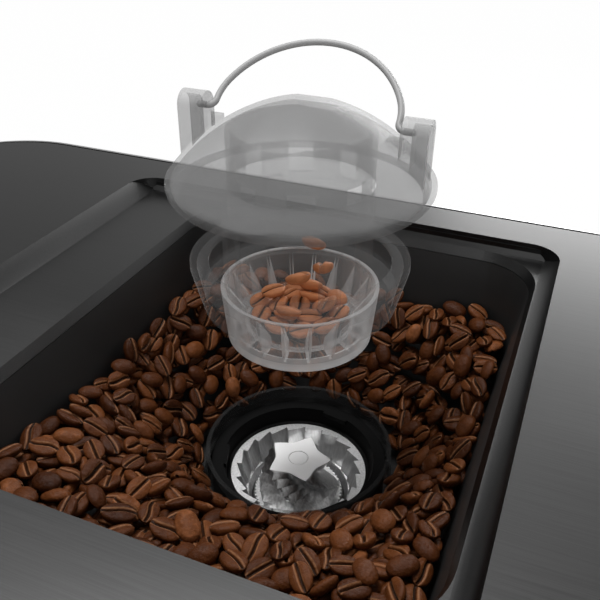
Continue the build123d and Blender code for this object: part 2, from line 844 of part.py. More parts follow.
# Bearing, shaft with sweeper arms, and the bolt sunk flush in the cone's top
bearing = post(grinder_x, grinder_y, bearing_r, bearing_z0, bearing_z0 + bearing_h)
bearing -= post(grinder_x, grinder_y, shaft_r + shaft_fit, bearing_z0 - 1, bearing_z0 + bearing_h + 1)
gearbox_top_z = shelf_z - part_gap
gearbox_low_z = gearbox_top_z - gearbox_h
shaft_low_z = gearbox_low_z + 1.2
shaft_top_z = ring_z + shaft_top_h
burr_shaft = post(grinder_x, grinder_y, shaft_r, shaft_low_z, shaft_top_z)
sweeper_top_z = ring_z + sweeper_top_h
sweeper_low_z = sweeper_top_z - sweeper_h
burr_shaft += post(grinder_x, grinder_y, cone_hub_r, sweeper_low_z, sweeper_top_z)
for i in range(4):
    arm = block(0, sweeper_r, -1.3, 1.3, sweeper_low_z, sweeper_top_z - 1.0)
    burr_shaft += Pos(grinder_x, grinder_y, 0) * Rot(0, 0, 45 + i * 90.0) * arm
bolt_top_z = ring_z + cone_top_h
bolt_low_z = bolt_top_z - bolt_head_h - bolt_l
burr_shaft -= post(grinder_x, grinder_y, bolt_r + shaft_fit, bolt_low_z - 1.0, shaft_top_z + 1)
burr_bolt = post(grinder_x, grinder_y, bolt_head_r, bolt_top_z - bolt_head_h, bolt_top_z)
burr_bolt = chamfer(burr_bolt.edges().group_by(Axis.Z)[-1], 0.3)
burr_bolt += post(grinder_x, grinder_y, bolt_r, bolt_low_z, bolt_top_z - bolt_head_h)

# Drive gear, motor pinion, gearbox case and motor
gear_z0 = gearbox_low_z + 8.0
gear_centre_d = gear_module * (gear_teeth + pinion_teeth) / 2
motor_x = grinder_x + gear_centre_d
drive_gear = spur(gear_teeth, gear_module, gear_backlash, 0, gear_h)
drive_gear += post(0, 0, 10.0, -2.0, gear_h + 2.0)
for i in range(6):
    window = Rot(0, 0, 30 + 60 * i) * Pos(19.0, 0, 0) * post(0, 0, 5.2, -1, gear_h + 1)
    drive_gear -= window
drive_gear -= post(0, 0, shaft_r + shaft_fit, -3, gear_h + 3)
drive_gear = Pos(grinder_x, grinder_y, gear_z0) * drive_gear
pinion_turn = 180.0 / pinion_teeth
motor_pinion = spur(pinion_teeth, gear_module, gear_backlash, gear_z0 - 1, gear_z0 + gear_h + 1, pinion_turn)
motor_low_z = gearbox_low_z - part_gap - motor_h
shaft_in_motor_z = gearbox_low_z - 12.0
motor_pinion += post(0, 0, motor_shaft_r, shaft_in_motor_z, gear_z0 + gear_h + 3)
motor_pinion = Pos(motor_x, grinder_y, 0) * motor_pinion
case_r = gear_module * (gear_teeth / 2 + 1) + 2.0 + gearbox_wall
pinion_room_r = motor_r - 8.0


def case_plan(grow):
    """The gearbox outline: the gear's circle and the pinion's, with straight sides between."""
    big = Pos(grinder_x, grinder_y) * Circle(case_r + grow)
    small = Pos(motor_x, grinder_y) * Circle(pinion_room_r + grow)
    return make_hull((big + small).edges())


gearbox = slab(case_plan(0), gearbox_low_z, gearbox_top_z)
gearbox -= slab(case_plan(-gearbox_wall), gearbox_low_z + 3.0, gearbox_top_z - 2.5)
gearbox -= post(grinder_x, grinder_y, shaft_r + 0.5, gearbox_low_z + 3.0, gearbox_top_z + 1)
gearbox -= post(grinder_x, grinder_y, shaft_r + shaft_fit, gearbox_low_z + 0.9, gearbox_low_z + 4)
gearbox -= post(motor_x, grinder_y, motor_shaft_r + 1.0, gearbox_low_z - 1, gearbox_low_z + 4)
motor = post(motor_x, grinder_y, motor_r, motor_low_z + 8, gearbox_low_z - 8)
motor = fillet(motor.edges().filter_by(GeomType.CIRCLE), 3.0)
motor += post(motor_x, grinder_y, motor_r - 10, motor_low_z, motor_low_z + 10)
motor += post(motor_x, grinder_y, motor_r - 12, gearbox_low_z - 10, gearbox_low_z)
for side in (-1, 1):
    brush_y = grinder_y + side * motor_r
    motor += block(motor_x - 5, motor_x + 5, brush_y - 3, brush_y + 3, motor_low_z + 14, motor_low_z + 26)
motor -= post(motor_x, grinder_y, motor_shaft_r + shaft_fit, shaft_in_motor_z - 2, gearbox_low_z + 1)

# Grounds chute from the port to the outlet over the cradle
chute_front_y = outlet_y - outlet_half - 2.0
chute_low_z = port_low_z - chute_t
chute_top_z = chute_low_z + chute_h
chute = block(
    grinder_x - chute_w / 2,
    grinder_x + chute_w / 2,
    chute_front_y,
    chute_back_y,
    chute_low_z,
    chute_top_z,
)
chute += block(
    grinder_x - outlet_half,
    grinder_x + outlet_half,
    outlet_y - outlet_half,
    outlet_y + outlet_half,
    outlet_bottom_z,
    chute_low_z,
)
chute -= block(
    grinder_x - port_half,
    grinder_x + port_half,
    chute_front_y + chute_t,
    chute_back_y + 1,
    port_low_z,
    chute_top_z - chute_t,
)
chute -= block(
    grinder_x - outlet_half + chute_t,
    grinder_x + outlet_half - chute_t,
    outlet_y - outlet_half + chute_t,
    outlet_y + outlet_half - chute_t,
    outlet_bottom_z - 1,
    port_low_z + 1,
)

# Cradle that holds the portafilter under the chute
prong_x = filter_cup_r + 1.9
cradle = block(
    grinder_x - prong_x - cradle_prong_w,
    grinder_x + prong_x + cradle_prong_w,
    column_front_y - 4,
    column_front_y,
    cradle_z - 26,
    outlet_bottom_z - 4,
)
cradle = fillet(cradle.edges().filter_by(Axis.Y), 5.0)
for side in (-1, 1):
    near = grinder_x + side * prong_x
    far = grinder_x + side * (prong_x + cradle_prong_w)
    prong = block(
        min(near, far),
        max(near, far),
        column_front_y - cradle_prong_l,
        column_front_y - 3,
        cradle_z,
        cradle_z + cradle_prong_h,
    )
    cradle += fillet(prong.edges().filter_by(Axis.Z).sort_by(Axis.Y)[:2], cradle_prong_w / 2 - 0.2)

# Grind size dial: knob, shaft and the pinion that turns the crown
dial_pitch_r = crown_pitch_r * dial_teeth / crown_teeth
crown_mid_z = ring_z + flange_top_h + crown_tooth_h * 0.55
dial_z = crown_mid_z + dial_pitch_r
dial_y = grinder_y - crown_pitch_r
dial_module = 2 * dial_pitch_r / dial_teeth
dial_gear = spur(dial_teeth, dial_module * 0.86, 0.45, -3.2, 3.2, -90.0)
dial_gear = Pos(grinder_x, dial_y, dial_z) * Rot(90, 0, 0) * dial_gear
size_dial = knob(grinder_x, dial_z, knob_r, knob_h, knob_flutes)
size_dial += rod_y(grinder_x, dial_z, dial_shaft_r, head_front_y - 1.0, dial_y + 3.2) + dial_gear

# Clear feed ring with deep ribs, lifted over the throat
feed_ring = turned(
    (feed_top_r - feed_t, feed_top_h),
    (feed_top_r, feed_top_h),
    (feed_low_r, feed_low_h),
    (feed_low_r - feed_t * 2.2, feed_low_h),
    (feed_low_r - feed_t * 2.2, feed_low_h + feed_band_h),
    (feed_low_r - feed_t + 0.1, feed_low_h + feed_band_h + 1.0),
)
rib_profile = make_face(
    Polyline(
        (feed_top_r - feed_t + 0.3, feed_top_h - 1.0),
        (feed_waist_r + 1.2, feed_low_h + 8.0),
        (feed_waist_r, feed_low_h + feed_band_h),
        (feed_low_r - feed_t * 1.5, feed_low_h + 1.0),
        (feed_low_r - feed_t * 0.5, feed_low_h + 6.0),
        close=True,
    )
)
rib = extrude(Plane.XZ * rib_profile, 0.55, both=True)
for i in range(feed_ribs):
    feed_ring += Rot(0, 0, i * 360.0 / feed_ribs) * rib
waist_ring = turned(
    (feed_waist_r, feed_low_h + feed_band_h),
    (feed_waist_r + 1.2, feed_low_h + feed_band_h),
    (feed_waist_r + 1.6, feed_low_h + feed_band_h + 1.6),
    (feed_waist_r + 0.4, feed_low_h + feed_band_h + 1.6),
)
feed_ring += waist_ring


def dome_solid(inset):
    """The cap's outer shape, or its inside when drawn in by the wall."""
    rim_r = dome_rim_r - inset
    top_h = dome_top_h - inset
    mid_r = rim_r * 0.62
    mid_h = top_h - (dome_crown_r - sqrt(dome_crown_r**2 - mid_r**2))
    skirt_h = dome_rim_h - 4.0
    side = make_face(
        Curve()
        + [
            ThreePointArc((0, top_h), (mid_r, mid_h), (rim_r, dome_rim_h + 1.0)),
            ThreePointArc((rim_r, dome_rim_h + 1.0), (rim_r - 0.4, dome_rim_h - 2.2), (rim_r - 2.4, skirt_h)),
            Polyline((rim_r - 2.4, skirt_h), (0, skirt_h), (0, top_h)),
        ]
    )
    spun = revolve(Plane.XZ * side, Axis.Z)
    half = rim_r + 1.5
    fall = top_h - dome_rim_h + 2.0
    mid_y = half * 0.5
    mid_fall = mid_y * tan(radians(ridge_slope)) + fall * 0.14
    ridge = make_face(
        Curve()
        + [
            ThreePointArc((0, top_h), (mid_y, top_h - mid_fall), (half, top_h - fall)),
            Polyline((half, top_h - fall), (half, skirt_h - 2), (-half, skirt_h - 2), (-half, top_h - fall)),
            ThreePointArc((-half, top_h - fall), (-mid_y, top_h - mid_fall), (0, top_h)),
        ]
    )
    return spun & extrude(Plane.YZ * ridge, dome_rim_r * 1.5, both=True)


# Clear carrier: flange, tapered skirt, posts and the cage tube under the dome
carrier_body = turned(
    (skirt_low_r - 1.4, skirt_low_h),
    (skirt_low_r, skirt_low_h),
    (flange_r, flange_h - 1.6),
    (flange_r, flange_h),
    (flange_hole_r, flange_h),
    (flange_hole_r, flange_h - 1.6),
    (flange_r - 2.2, flange_h - 1.6),
)
seat_low_h = feed_top_h + 0.3
carrier_body += turned(
    (feed_top_r - 2.6, seat_low_h),
    (skirt_low_r + 0.6, seat_low_h),
    (skirt_low_r + 1.0, seat_low_h + 1.6),
    (feed_top_r - 2.6, seat_low_h + 1.6),
)
carrier_body += turned(
    (cage_r - cage_t, cage_low_h),
    (cage_r, cage_low_h),
    (cage_r, dome_rim_h),
    (cage_r - cage_t, dome_rim_h),
)
cage_top = post(0, 0, cage_r, dome_rim_h - 1, dome_top_h) - post(0, 0, cage_r - cage_t, 0, panel_z)
carrier_body += cage_top & dome_solid(dome_t + part_gap)
for i in range(cage_posts):
    leg = block(cage_r - cage_t, cage_r + 2.4, -3.0, 3.0, seat_low_h + 0.4, cage_low_h + 4.0)
    carrier_body += Rot(0, 0, 45.0 + i * 360.0 / cage_posts) * leg
window_count = 8
for i in range(window_count):
    window = block(cage_r - 4, cage_r + 4, -4.2, 4.2, cage_low_h + 6.0, dome_rim_h + 4.0)
    carrier_body -= Rot(0, 0, (i + 0.5) * 360.0 / window_count) * window

# Dome cap: an arch-backed dome pinched to a ridge from ear to ear, closed by a floor round the cage
dome_cap = dome_solid(0) - dome_solid(dome_t) - post(0, 0, dome_rim_r - 3.9, dome_rim_h - 6, dome_rim_h - 2)
floor_top_h = dome_rim_h - dome_floor_drop + dome_floor_t
dome_floor = post(0, 0, dome_rim_r, dome_rim_h - dome_floor_drop, floor_top_h) & dome_solid(dome_t / 2)
dome_cap += dome_floor - post(0, 0, cage_r + part_gap, dome_rim_h - 6, dome_rim_h + 1)
for side in (-1, 1):
    inner, outer_x = sorted((side * ear_in, side * ear_out))
    ear = block(inner, outer_x, -ear_back - ear_r, -ear_back + ear_r, ear_low_h - 4, bail_h)
    ear += rod_x(-ear_back, bail_h, ear_r, inner, outer_x)
    web_in, web_out = sorted((side * ear_web_in, side * (ear_in + 1.0)))
    ear += block(web_in, web_out, -ear_web_t / 2, ear_web_t / 2, ear_low_h, ear_web_h)
    slot_in, slot_out = sorted((side * (ear_in + ear_cheek_t), side * (ear_out + 1.0)))
    slot_r = ear_r - ear_wall
    ear -= block(slot_in, slot_out, -ear_back - slot_r, -ear_back + slot_r, ear_low_h, bail_h)
    ear -= rod_x(-ear_back, bail_h, slot_r, slot_in, slot_out)
    ear -= dome_solid(dome_t)
    ear -= block(-60, 60, -20, 20, dome_rim_h - 10, dome_rim_h + 0.4)
    dome_cap += ear
    pin_in, pin_out = sorted((side * (ear_in - 1.0), side * (ear_in + ear_cheek_t + 1.0)))
    dome_cap -= rod_x(0, bail_h, bail_wire_r + shaft_fit, pin_in, pin_out)

# Wire bail: a basket-handle arch of tangent arcs, its bent ends pivoting in the ears
arch_half = bail_half_w - bail_bend_r
arch_rise = bail_reach - bail_leg
side_shift = arch_half - bail_side_r
crown_drop = (side_shift**2 - (arch_rise - bail_side_r) ** 2) / (2 * (arch_rise - bail_side_r))
side_turn = degrees(atan(crown_drop / side_shift))
crown_r = arch_rise + crown_drop
pin_end = bail_half_w + bail_pin_l
pin = Line((pin_end, 0), (bail_half_w, 0))
bend = JernArc(start=pin @ 1, tangent=(-1, 0), radius=bail_bend_r, arc_size=-90)
leg_line = Line(bend @ 1, (arch_half, bail_leg))
side_arc = JernArc(start=leg_line @ 1, tangent=(0, 1), radius=bail_side_r, arc_size=side_turn)
crown_arc = JernArc(start=side_arc @ 1, tangent=side_arc % 1, radius=crown_r, arc_size=2 * (90 - side_turn))
far_arc = JernArc(start=crown_arc @ 1, tangent=crown_arc % 1, radius=bail_side_r, arc_size=side_turn)
far_leg = Line(far_arc @ 1, (-arch_half, bail_bend_r))
far_bend = JernArc(start=far_leg @ 1, tangent=(0, -1), radius=bail_bend_r, arc_size=-90)
far_pin = Line(far_bend @ 1, (-pin_end, 0))
bail_path = Wire([pin, bend, leg_line, side_arc, crown_arc, far_arc, far_leg, far_bend, far_pin])
bail = sweep(Plane(origin=bail_path @ 0, z_dir=bail_path % 0) * Circle(bail_wire_r), path=bail_path)
bail = Pos(0, 0, bail_h) * Rot(90 - bail_lean, 0, 0) * bail

# Brew group with its bayonet channel, gasket and screen
group = post(0, 0, group_flange_r, shelf_top_z, shelf_top_z + group_flange_t)
group += post(0, 0, group_r, group_low_z, shelf_top_z)
group = chamfer(group.edges().group_by(Axis.Z)[0], 2.0)
block_low_z = gasket_low_z + gasket_h
group -= post(0, 0, group_bore_r, group_low_z - 1, block_low_z)
group -= post(0, 0, lug_channel_r, lug_channel_low_z, gasket_low_z - 1.0)
entry_x = lug_channel_r * 1.2
entry_half = entry_x * tan(radians(entry_angle / 2))
entry_outline = Polyline((0, 0), (entry_x, -entry_half), (entry_x, entry_half), close=True)
for side in (0, 180):
    entry = slab(make_face(entry_outline), group_low_z - 1, gasket_low_z - 1.0)
    entry &= post(0, 0, lug_channel_r, group_low_z - 1, gasket_low_z - 1.0)
    group -= Rot(0, 0, side - 45.0) * entry
gasket = post(0, 0, group_bore_r - 0.3, gasket_low_z, block_low_z)
gasket -= post(0, 0, gasket_in_r, gasket_low_z - 1, block_low_z + 1)
screen = post(0, 0, screen_r, block_low_z - screen_t, block_low_z)
holes = []
for ring_r, count in ((7.0, 6), (14.0, 12), (21.0, 18)):
    for i in range(count):
        angle = 2 * pi * i / count
        spot = (ring_r * cos(angle), ring_r * sin(angle))
        holes.append(post(*spot, 1.1, block_low_z - screen_t - 1, block_low_z + 1))
screen -= holes

# Portafilter: cup with lugs and neck, basket, twin spout and handle
rim_top_z = gasket_low_z - part_gap - 1.2
cup = turned(
    (0, spout_z),
    (8.0, spout_z),
    (8.0, cup_floor_z - 5.0),
    (filter_cup_r - 4.0, cup_floor_z - 2.0),
    (filter_cup_r, cup_floor_z + 3.0),
    (filter_cup_r, rim_top_z - 5.0),
    (filter_rim_r, rim_top_z - 4.0),
    (filter_rim_r, rim_top_z),
    (0, rim_top_z),
)
lug_ring = post(0, 0, filter_lug_r, lug_channel_low_z + part_gap, rim_top_z - 0.6)
lug_ring -= post(0, 0, filter_cup_r - 1, 0, panel_z)
lug_half = filter_lug_r * tan(radians(filter_lug_angle / 2))
cup += lug_ring & block(-machine_w, machine_w, -lug_half, lug_half, 0, panel_z)
neck = rod_y(0, 0, neck_r, -filter_cup_r - neck_l, -filter_cup_r + 2.5)
cup += Pos(0, 0, neck_z) * Rot(handle_tilt, 0, 0) * neck
basket_low_z = rim_top_z - basket_depth
cup -= post(0, 0, filter_cup_bore_r, basket_low_z - 3.0, rim_top_z + 1)
cup -= post(0, 0, 4.5, spout_z - 1, basket_low_z)
basket_out_r = filter_cup_bore_r - basket_play
basket_in_r = basket_out_r - basket_t
basket_brim_r = filter_rim_r - 0.6
basket = turned(
    (0, basket_low_z),
    (basket_out_r - basket_corner_w, basket_low_z),
    (basket_out_r, basket_low_z + basket_corner_h),
    (basket_out_r, rim_top_z + 0.2),
    (basket_brim_r, rim_top_z + 0.2),
    (basket_brim_r, rim_top_z + 1.0),
    (basket_in_r, rim_top_z + 1.0),
    (basket_in_r, basket_low_z + basket_corner_h + 0.2),
    (basket_in_r - basket_corner_w, basket_low_z + basket_t),
    (0, basket_low_z + basket_t),
)
spout = post(0, 0, 9.5, spout_z - 8.0, spout_z)
for side in (-1, 1):
    arm_len = spout_half_gap + 3.0
    arm = Pos(side * spout_half_gap / 2, 0, spout_z - 8.0) * Rot(0, side * 62.0, 0) * Cylinder(6.2, arm_len)
    spout += arm
    spout += post(side * spout_half_gap, 0, 6.2, spout_low_z, spout_z - 10.5)
spout &= block(-40, 40, -20, 20, spout_low_z, spout_z)
for side in (-1, 1):
    spout -= post(side * spout_half_gap, 0, 4.4, spout_low_z - 1, spout_z - 10.0)
spout -= post(0, 0, 4.5, spout_z - 7.0, spout_z + 1)
grip_back = -filter_cup_r - neck_l
grip_end_r = handle_r - 7.0
grip_profile = make_face(
    Curve()
    + [
        Polyline((0, 0), (8.5, 0), (9.5, 3.0)),
        ThreePointArc((9.5, 3.0), (handle_r - 1.0, handle_l * 0.42), (handle_r, handle_l * 0.72)),
        ThreePointArc((handle_r, handle_l * 0.72), (handle_r - 2.6, handle_l * 0.95), (grip_end_r, handle_l)),
        Polyline((grip_end_r, handle_l), (0, handle_l), (0, 0)),
    ]
)
grip = revolve(Plane.XZ * grip_profile, Axis.Z)
handle = Pos(0, 0, neck_z) * Rot(handle_tilt, 0, 0) * Pos(0, grip_back, 0) * Rot(90, 0, 0) * grip

# Steam wand: ball, bent tube and tip, with a soft grip sleeve
knee_z = 214.0
wand_end_z = 112.0
lean_x = wand_x - 6.0
lean_y = wand_y - 30.0
wand_path = FilletPolyline(
    (wand_x, wand_y, ball_z - 4),
    (wand_x, wand_y, knee_z),
    (lean_x, lean_y, wand_end_z),
    radius=26,
)
wand_start = Plane(origin=wand_path @ 0, z_dir=wand_path % 0) * Circle(wand_r)
wand = sweep(wand_start, path=wand_path)
wand += Pos(wand_x, wand_y, ball_z) * Sphere(ball_r)
wand += rod_y(wand_x, ball_z, trunnion_r, wand_y - ball_r - trunnion_l, wand_y + ball_r + trunnion_l)
tip_plane = Plane(origin=wand_path @ 1, z_dir=wand_path % 1)
wand += tip_plane * Pos(0, 0, 1.5) * Cylinder(5.6, 7.0)
wand += tip_plane * Pos(0, 0, 7.5) * Cone(5.6, 3.2, 5.0)
sleeve_plane = Plane(origin=wand_path @ 0.70, z_dir=wand_path % 0.70)
wand_grip = sleeve_plane * (Cylinder(7.0, 44.0) - Cylinder(wand_r + 0.05, 50.0))
wand_grip = fillet(wand_grip.edges().filter_by(GeomType.CIRCLE).sort_by(SortBy.RADIUS)[-2:], 1.5)

# Thermoblock with fins, hung from the shelf
block_x0 = group_x - block_w / 2
block_x1 = group_x + block_w / 2
block_y0 = block_y - block_d / 2
block_y1 = block_y + block_d / 2
block_z0 = block_top_z - block_h
thermoblock = block(block_x0, block_x1, block_y0 + 7, block_y1 - 7, block_z0, block_top_z)
fin_count = int(block_w / fin_pitch)
for i in range(fin_count):
    fin_x = block_x0 + fin_pitch * (i + 0.5)
    fin = block(-fin_t / 2, fin_t / 2, block_y0, block_y1, block_z0 + 6, block_top_z - 6)
    thermoblock += Pos(fin_x, 0, 0) * fin
for hanger_x in (block_x0 + 4.5, block_x1 - 4.5):
    thermoblock += block(hanger_x - 4, hanger_x + 4, block_y - 8, block_y + 8, block_top_z - 1, shelf_z)

# Vibration pump on two saddles of the base
pump = rod_x(pump_y, pump_z, pump_r, group_x - pump_l / 2, group_x + pump_l / 2)
pump = fillet(pump.edges().filter_by(GeomType.CIRCLE), 2.0)
pump += block(group_x - 11, group_x + 11, pump_y - 17, pump_y + 17, pump_z, pump_z + 27)
pump += rod_x(pump_y, pump_z, 5.0, pump_front_x - 1, pump_front_x + 12)
pump += rod_x(pump_y, pump_z, 5.0, group_x - pump_l / 2 - 12, group_x - pump_l / 2 + 1)

# Steam valve behind its dial
valve_y0 = head_front_y + fascia_t + 14.0
valve_y1 = valve_y0 + 26.0
valve = block(steam_dial_x - 11, steam_dial_x + 11, valve_y0, valve_y1, control_z - 12, control_z + 12)
valve = chamfer(valve.edges().filter_by(Axis.Y), 3.0)
valve += rod_y(steam_dial_x, control_z, 8.0, head_front_y + fascia_t, valve_y0)
valve -= rod_y(steam_dial_x, control_z, dial_shaft_r + shaft_fit, head_front_y, valve_y0 + 8.5)

# Pipes: tank to pump, pump to block, block to group, block to valve, valve to wand
pump_in_x = pump_front_x + 12 + part_gap
pump_out_x = group_x - pump_l / 2 - 12 - part_gap
tank_nose_y = bulkhead_y - 3.0
pipes = [
    pipe(
        4.0,
        10,
        (tank_port_x, tank_nose_y, tank_port_z),
        (tank_port_x, pump_y, pump_z),
        (pump_in_x, pump_y, pump_z),
    ),
    pipe(
        4.0,
        12,
        (pump_out_x, pump_y, pump_z),
        (pump_out_x - 22, pump_y, pump_z),
        (pump_out_x - 22, pump_y, block_z0 - 30),
        (steam_pipe_x, block_y, block_z0 - 30),
        (steam_pipe_x, block_y, block_z0),
    ),
    pipe(
        pipe_r,
        12,
        (brew_pipe_x, block_y, block_top_z),
        (brew_pipe_x, block_y, shelf_top_z + 26),
        (brew_pipe_x, group_y, shelf_top_z + 26),
        (brew_pipe_x, group_y, shelf_top_z + group_flange_t),
    ),
    pipe(
        pipe_r,
        12,
        (steam_pipe_x, block_y, block_top_z),
        (steam_pipe_x, block_y, control_z),
        (steam_pipe_x, valve_y1, control_z),
    ),
    pipe(
        pipe_r,
        10,
        (steam_dial_x - 11, valve_y0 + 13, control_z),
        (wand_x, valve_y0 + 13, control_z),
        (wand_x, wand_y, control_z - 24),
        (wand_x, wand_y, ball_z + ball_r + 1.5),
    ),
]

# Water tank, its outlet nose and flap lid
tank_back_y = rear_y - 0.3
tank_low_z = base_top_z + part_gap
tank_plan = round_rect(-tank_w / 2, tank_w / 2, tank_front_y, tank_back_y, tank_corner_r)
tank_room = round_rect(
    -tank_w / 2 + tank_wall,
    tank_w / 2 - tank_wall,
    tank_front_y + tank_wall,
    tank_back_y - tank_wall,
    tank_corner_r - tank_wall,
)
tank = slab(tank_plan, tank_low_z, tank_top_z)
tank -= slab(tank_room, tank_low_z + tank_wall, tank_top_z + 1)
nose_front_y = bulkhead_y - 3.0 + part_gap
tank += rod_y(tank_port_x, tank_port_z, tank_port_r, nose_front_y, tank_front_y + 1)
tank -= rod_y(tank_port_x, tank_port_z, 3.0, nose_front_y - 1, tank_front_y + tank_wall + 1)
grip_z = tank_top_z - 34.0
tank += block(-36, 36, tank_back_y - 16, tank_back_y - 1, grip_z - 14, grip_z + 16)
tank -= block(-33, 33, tank_back_y - 13, tank_back_y + 1, grip_z - 11, grip_z + 9)
lid_front_y = tank_front_y + 3.5
lid_z = tank_top_z + part_gap
hinge_z = lid_z + tank_lid_t / 2
ear_x0 = tank_w / 2 - hinge_ear_w
tank_lid = slab(tank_plan, lid_z, lid_z + tank_lid_t)
tank_lid &= block(-machine_w, machine_w, lid_front_y, rear_y, 0, panel_z)
tank_lid += rod_x(lid_front_y, hinge_z, tank_lid_t / 2, part_gap - ear_x0, ear_x0 - part_gap)
for side in (-1, 1):
    near = side * ear_x0
    far = side * (tank_w / 2 + 1)
    ear_y1 = lid_front_y + hinge_ear_w
    notch = block(min(near, far), max(near, far), tank_front_y - 1, ear_y1 + part_gap, lid_z - 1, lid_z + 5)
    tank_lid -= Pos(-side * part_gap, 0, 0) * notch
    far = side * (tank_w / 2 - 0.5)
    tank_ear = block(min(near, far), max(near, far), tank_front_y, ear_y1, tank_top_z - 6, lid_z + tank_lid_t)
    tank += fillet(tank_ear.edges().filter_by(Axis.X).group_by(Axis.Z)[-1], 1.6)
    pin_in = side * (ear_x0 - 1.5)
    pin_out = side * (ear_x0 + hinge_pin_l)
    tank_lid += rod_x(lid_front_y, hinge_z, hinge_pin_r, min(pin_in, pin_out), max(pin_in, pin_out))
    hole_r = hinge_pin_r + shaft_fit
    tank -= rod_x(lid_front_y, hinge_z, hole_r, min(pin_in, pin_out + side), max(pin_in, pin_out + side))
tank_lid += block(-22, 22, tank_back_y - 8, tank_back_y - 2, lid_z + tank_lid_t - 1, lid_z + tank_lid_t + 3)

# Power inlet socket in the base's rear
inlet = block(
    inlet_x - inlet_w / 2,
    inlet_x + inlet_w / 2,
    rear_y - 21,
    rear_y - 1,
    inlet_z - inlet_h / 2,
    inlet_z + inlet_h / 2,
)
inlet -= block(inlet_x - 11, inlet_x + 11, rear_y - 16, rear_y, inlet_z - 7, inlet_z + 7)
for pin_x, pin_z in ((-6.5, 2.0), (6.5, 2.0), (0.0, -2.5)):
    blade = block(inlet_x - 1, inlet_x + 1, rear_y - 17, rear_y - 4, inlet_z - 2, inlet_z + 2)
    inlet += Pos(pin_x, 0, pin_z) * blade

# Drip tray, grate and float
tray_low_z = base_floor_z + slide_gap
tray_top_z = base_top_z
tray_zone = block(-tray_half_w, tray_half_w, front_y - 1, tray_back_y, 0, panel_z)
tray_solid = slab(base_plan, tray_low_z, tray_top_z) & tray_zone


def tray_inside(inset, z0, z1):
    """The tray's outline drawn in on all four sides."""
    inner = plan(inset, front_y, front_corner_r)
    half = tray_half_w - inset
    return slab(inner, z0, z1) & block(-half, half, front_y, tray_back_y - inset, 0, panel_z)


grate_low_z = tray_top_z - grate_t
tray = tray_solid - tray_inside(tray_wall, tray_low_z + tray_wall, tray_top_z + 1)
tray -= tray_inside(tray_lip, grate_low_z - part_gap, tray_top_z + 1)
tray -= block(-45, 45, front_y - 1, front_y + 1.4, tray_low_z + 6, tray_low_z + 14)
grate = tray_inside(tray_lip + part_gap, grate_low_z, tray_top_z)
slot_room = 2 * (tray_half_w - grate_margin)
slot_count = int(slot_room / slot_pitch)
slots = []
row_front = front_y + grate_margin + 2
row_back = tray_back_y - grate_margin
row_l = (row_back - row_front - slot_bridge) / 2
for i in range(slot_count):
    slot_x = (i - (slot_count - 1) / 2) * slot_pitch
    if abs(slot_x) < float_stem_r + 4:
        continue
    for row in (0, 1):
        y0 = row_front + row * (row_l + slot_bridge)
        slots.append(block(slot_x - slot_w / 2, slot_x + slot_w / 2, y0, y0 + row_l, 0, panel_z))
grate -= slots
grate -= post(0, float_y, float_stem_r + part_gap, 0, panel_z)
float_low_z = tray_low_z + tray_wall + part_gap
tray_float = post(0, float_y, float_r, float_low_z, float_low_z + 10)
tray_float = fillet(tray_float.edges().filter_by(GeomType.CIRCLE), 2.0)
tray_float += post(0, float_y, float_stem_r, float_low_z + 8, tray_top_z - 0.4)

# Control panel, its standoffs and holes
fascia_z0 = head_bottom_z
fascia_half = fascia_w / 2 - split_gap
fascia = block(-fascia_half, fascia_half, head_front_y, head_front_y + fascia_t, fascia_z0, panel_z)
fascia = fillet(fascia.edges().filter_by(Axis.X).sort_by(Axis.Y)[:2].sort_by(Axis.Z)[-1], lip_round)
fascia_back_y = head_front_y + fascia_t
board_x0 = button_x - 24.0
board_x1 = power_x + 18.0
board_z0 = control_z - 18.0
board_z1 = control_z + 28.0
stand_x = (board_x0 + 5, board_x1 - 5)
stand_z = (board_z0 + 4, board_z1 - 4)
for sx in stand_x:
    for sz in stand_z:
        fascia += rod_y(sx, sz, 2.6, fascia_back_y - 1, board_y)
fascia -= rod_y(steam_dial_x, control_z, dial_shaft_r + shaft_fit, head_front_y - 1, fascia_back_y + 1)
fascia -= rod_y(grinder_x, dial_z, dial_shaft_r + shaft_fit, head_front_y - 1, fascia_back_y + 1)
fascia -= rod_y(gauge_x, control_z, gauge_can_r + part_gap, head_front_y - 1, fascia_back_y + 1)
button_spots = (
    ("single_cup_button", button_x, control_z + button_rise),
    ("double_cup_button", button_x, control_z - button_rise),
    ("power_button", power_x, control_z),
)
for spot_name, spot_x, spot_z in button_spots:
    fascia -= rod_y(spot_x, spot_z, button_r + part_gap, head_front_y - 1, fascia_back_y + 1)
board = block(board_x0, board_x1, board_y, board_y + board_t, board_z0, board_z1)


def press_button(x, z):
    """A round push button with a collar behind the fascia and a stem towards the board."""
    cap = rod_y(x, z, button_r, head_front_y - 3.5, fascia_back_y + part_gap)
    cap = fillet(cap.edges().group_by(Axis.Y)[0], 1.0)
    cap += rod_y(x, z, button_r + 1.5, fascia_back_y + part_gap, fascia_back_y + 1.8)
    return cap + rod_y(x, z, 2.2, fascia_back_y + 1.5, board_y - button_travel - part_gap)


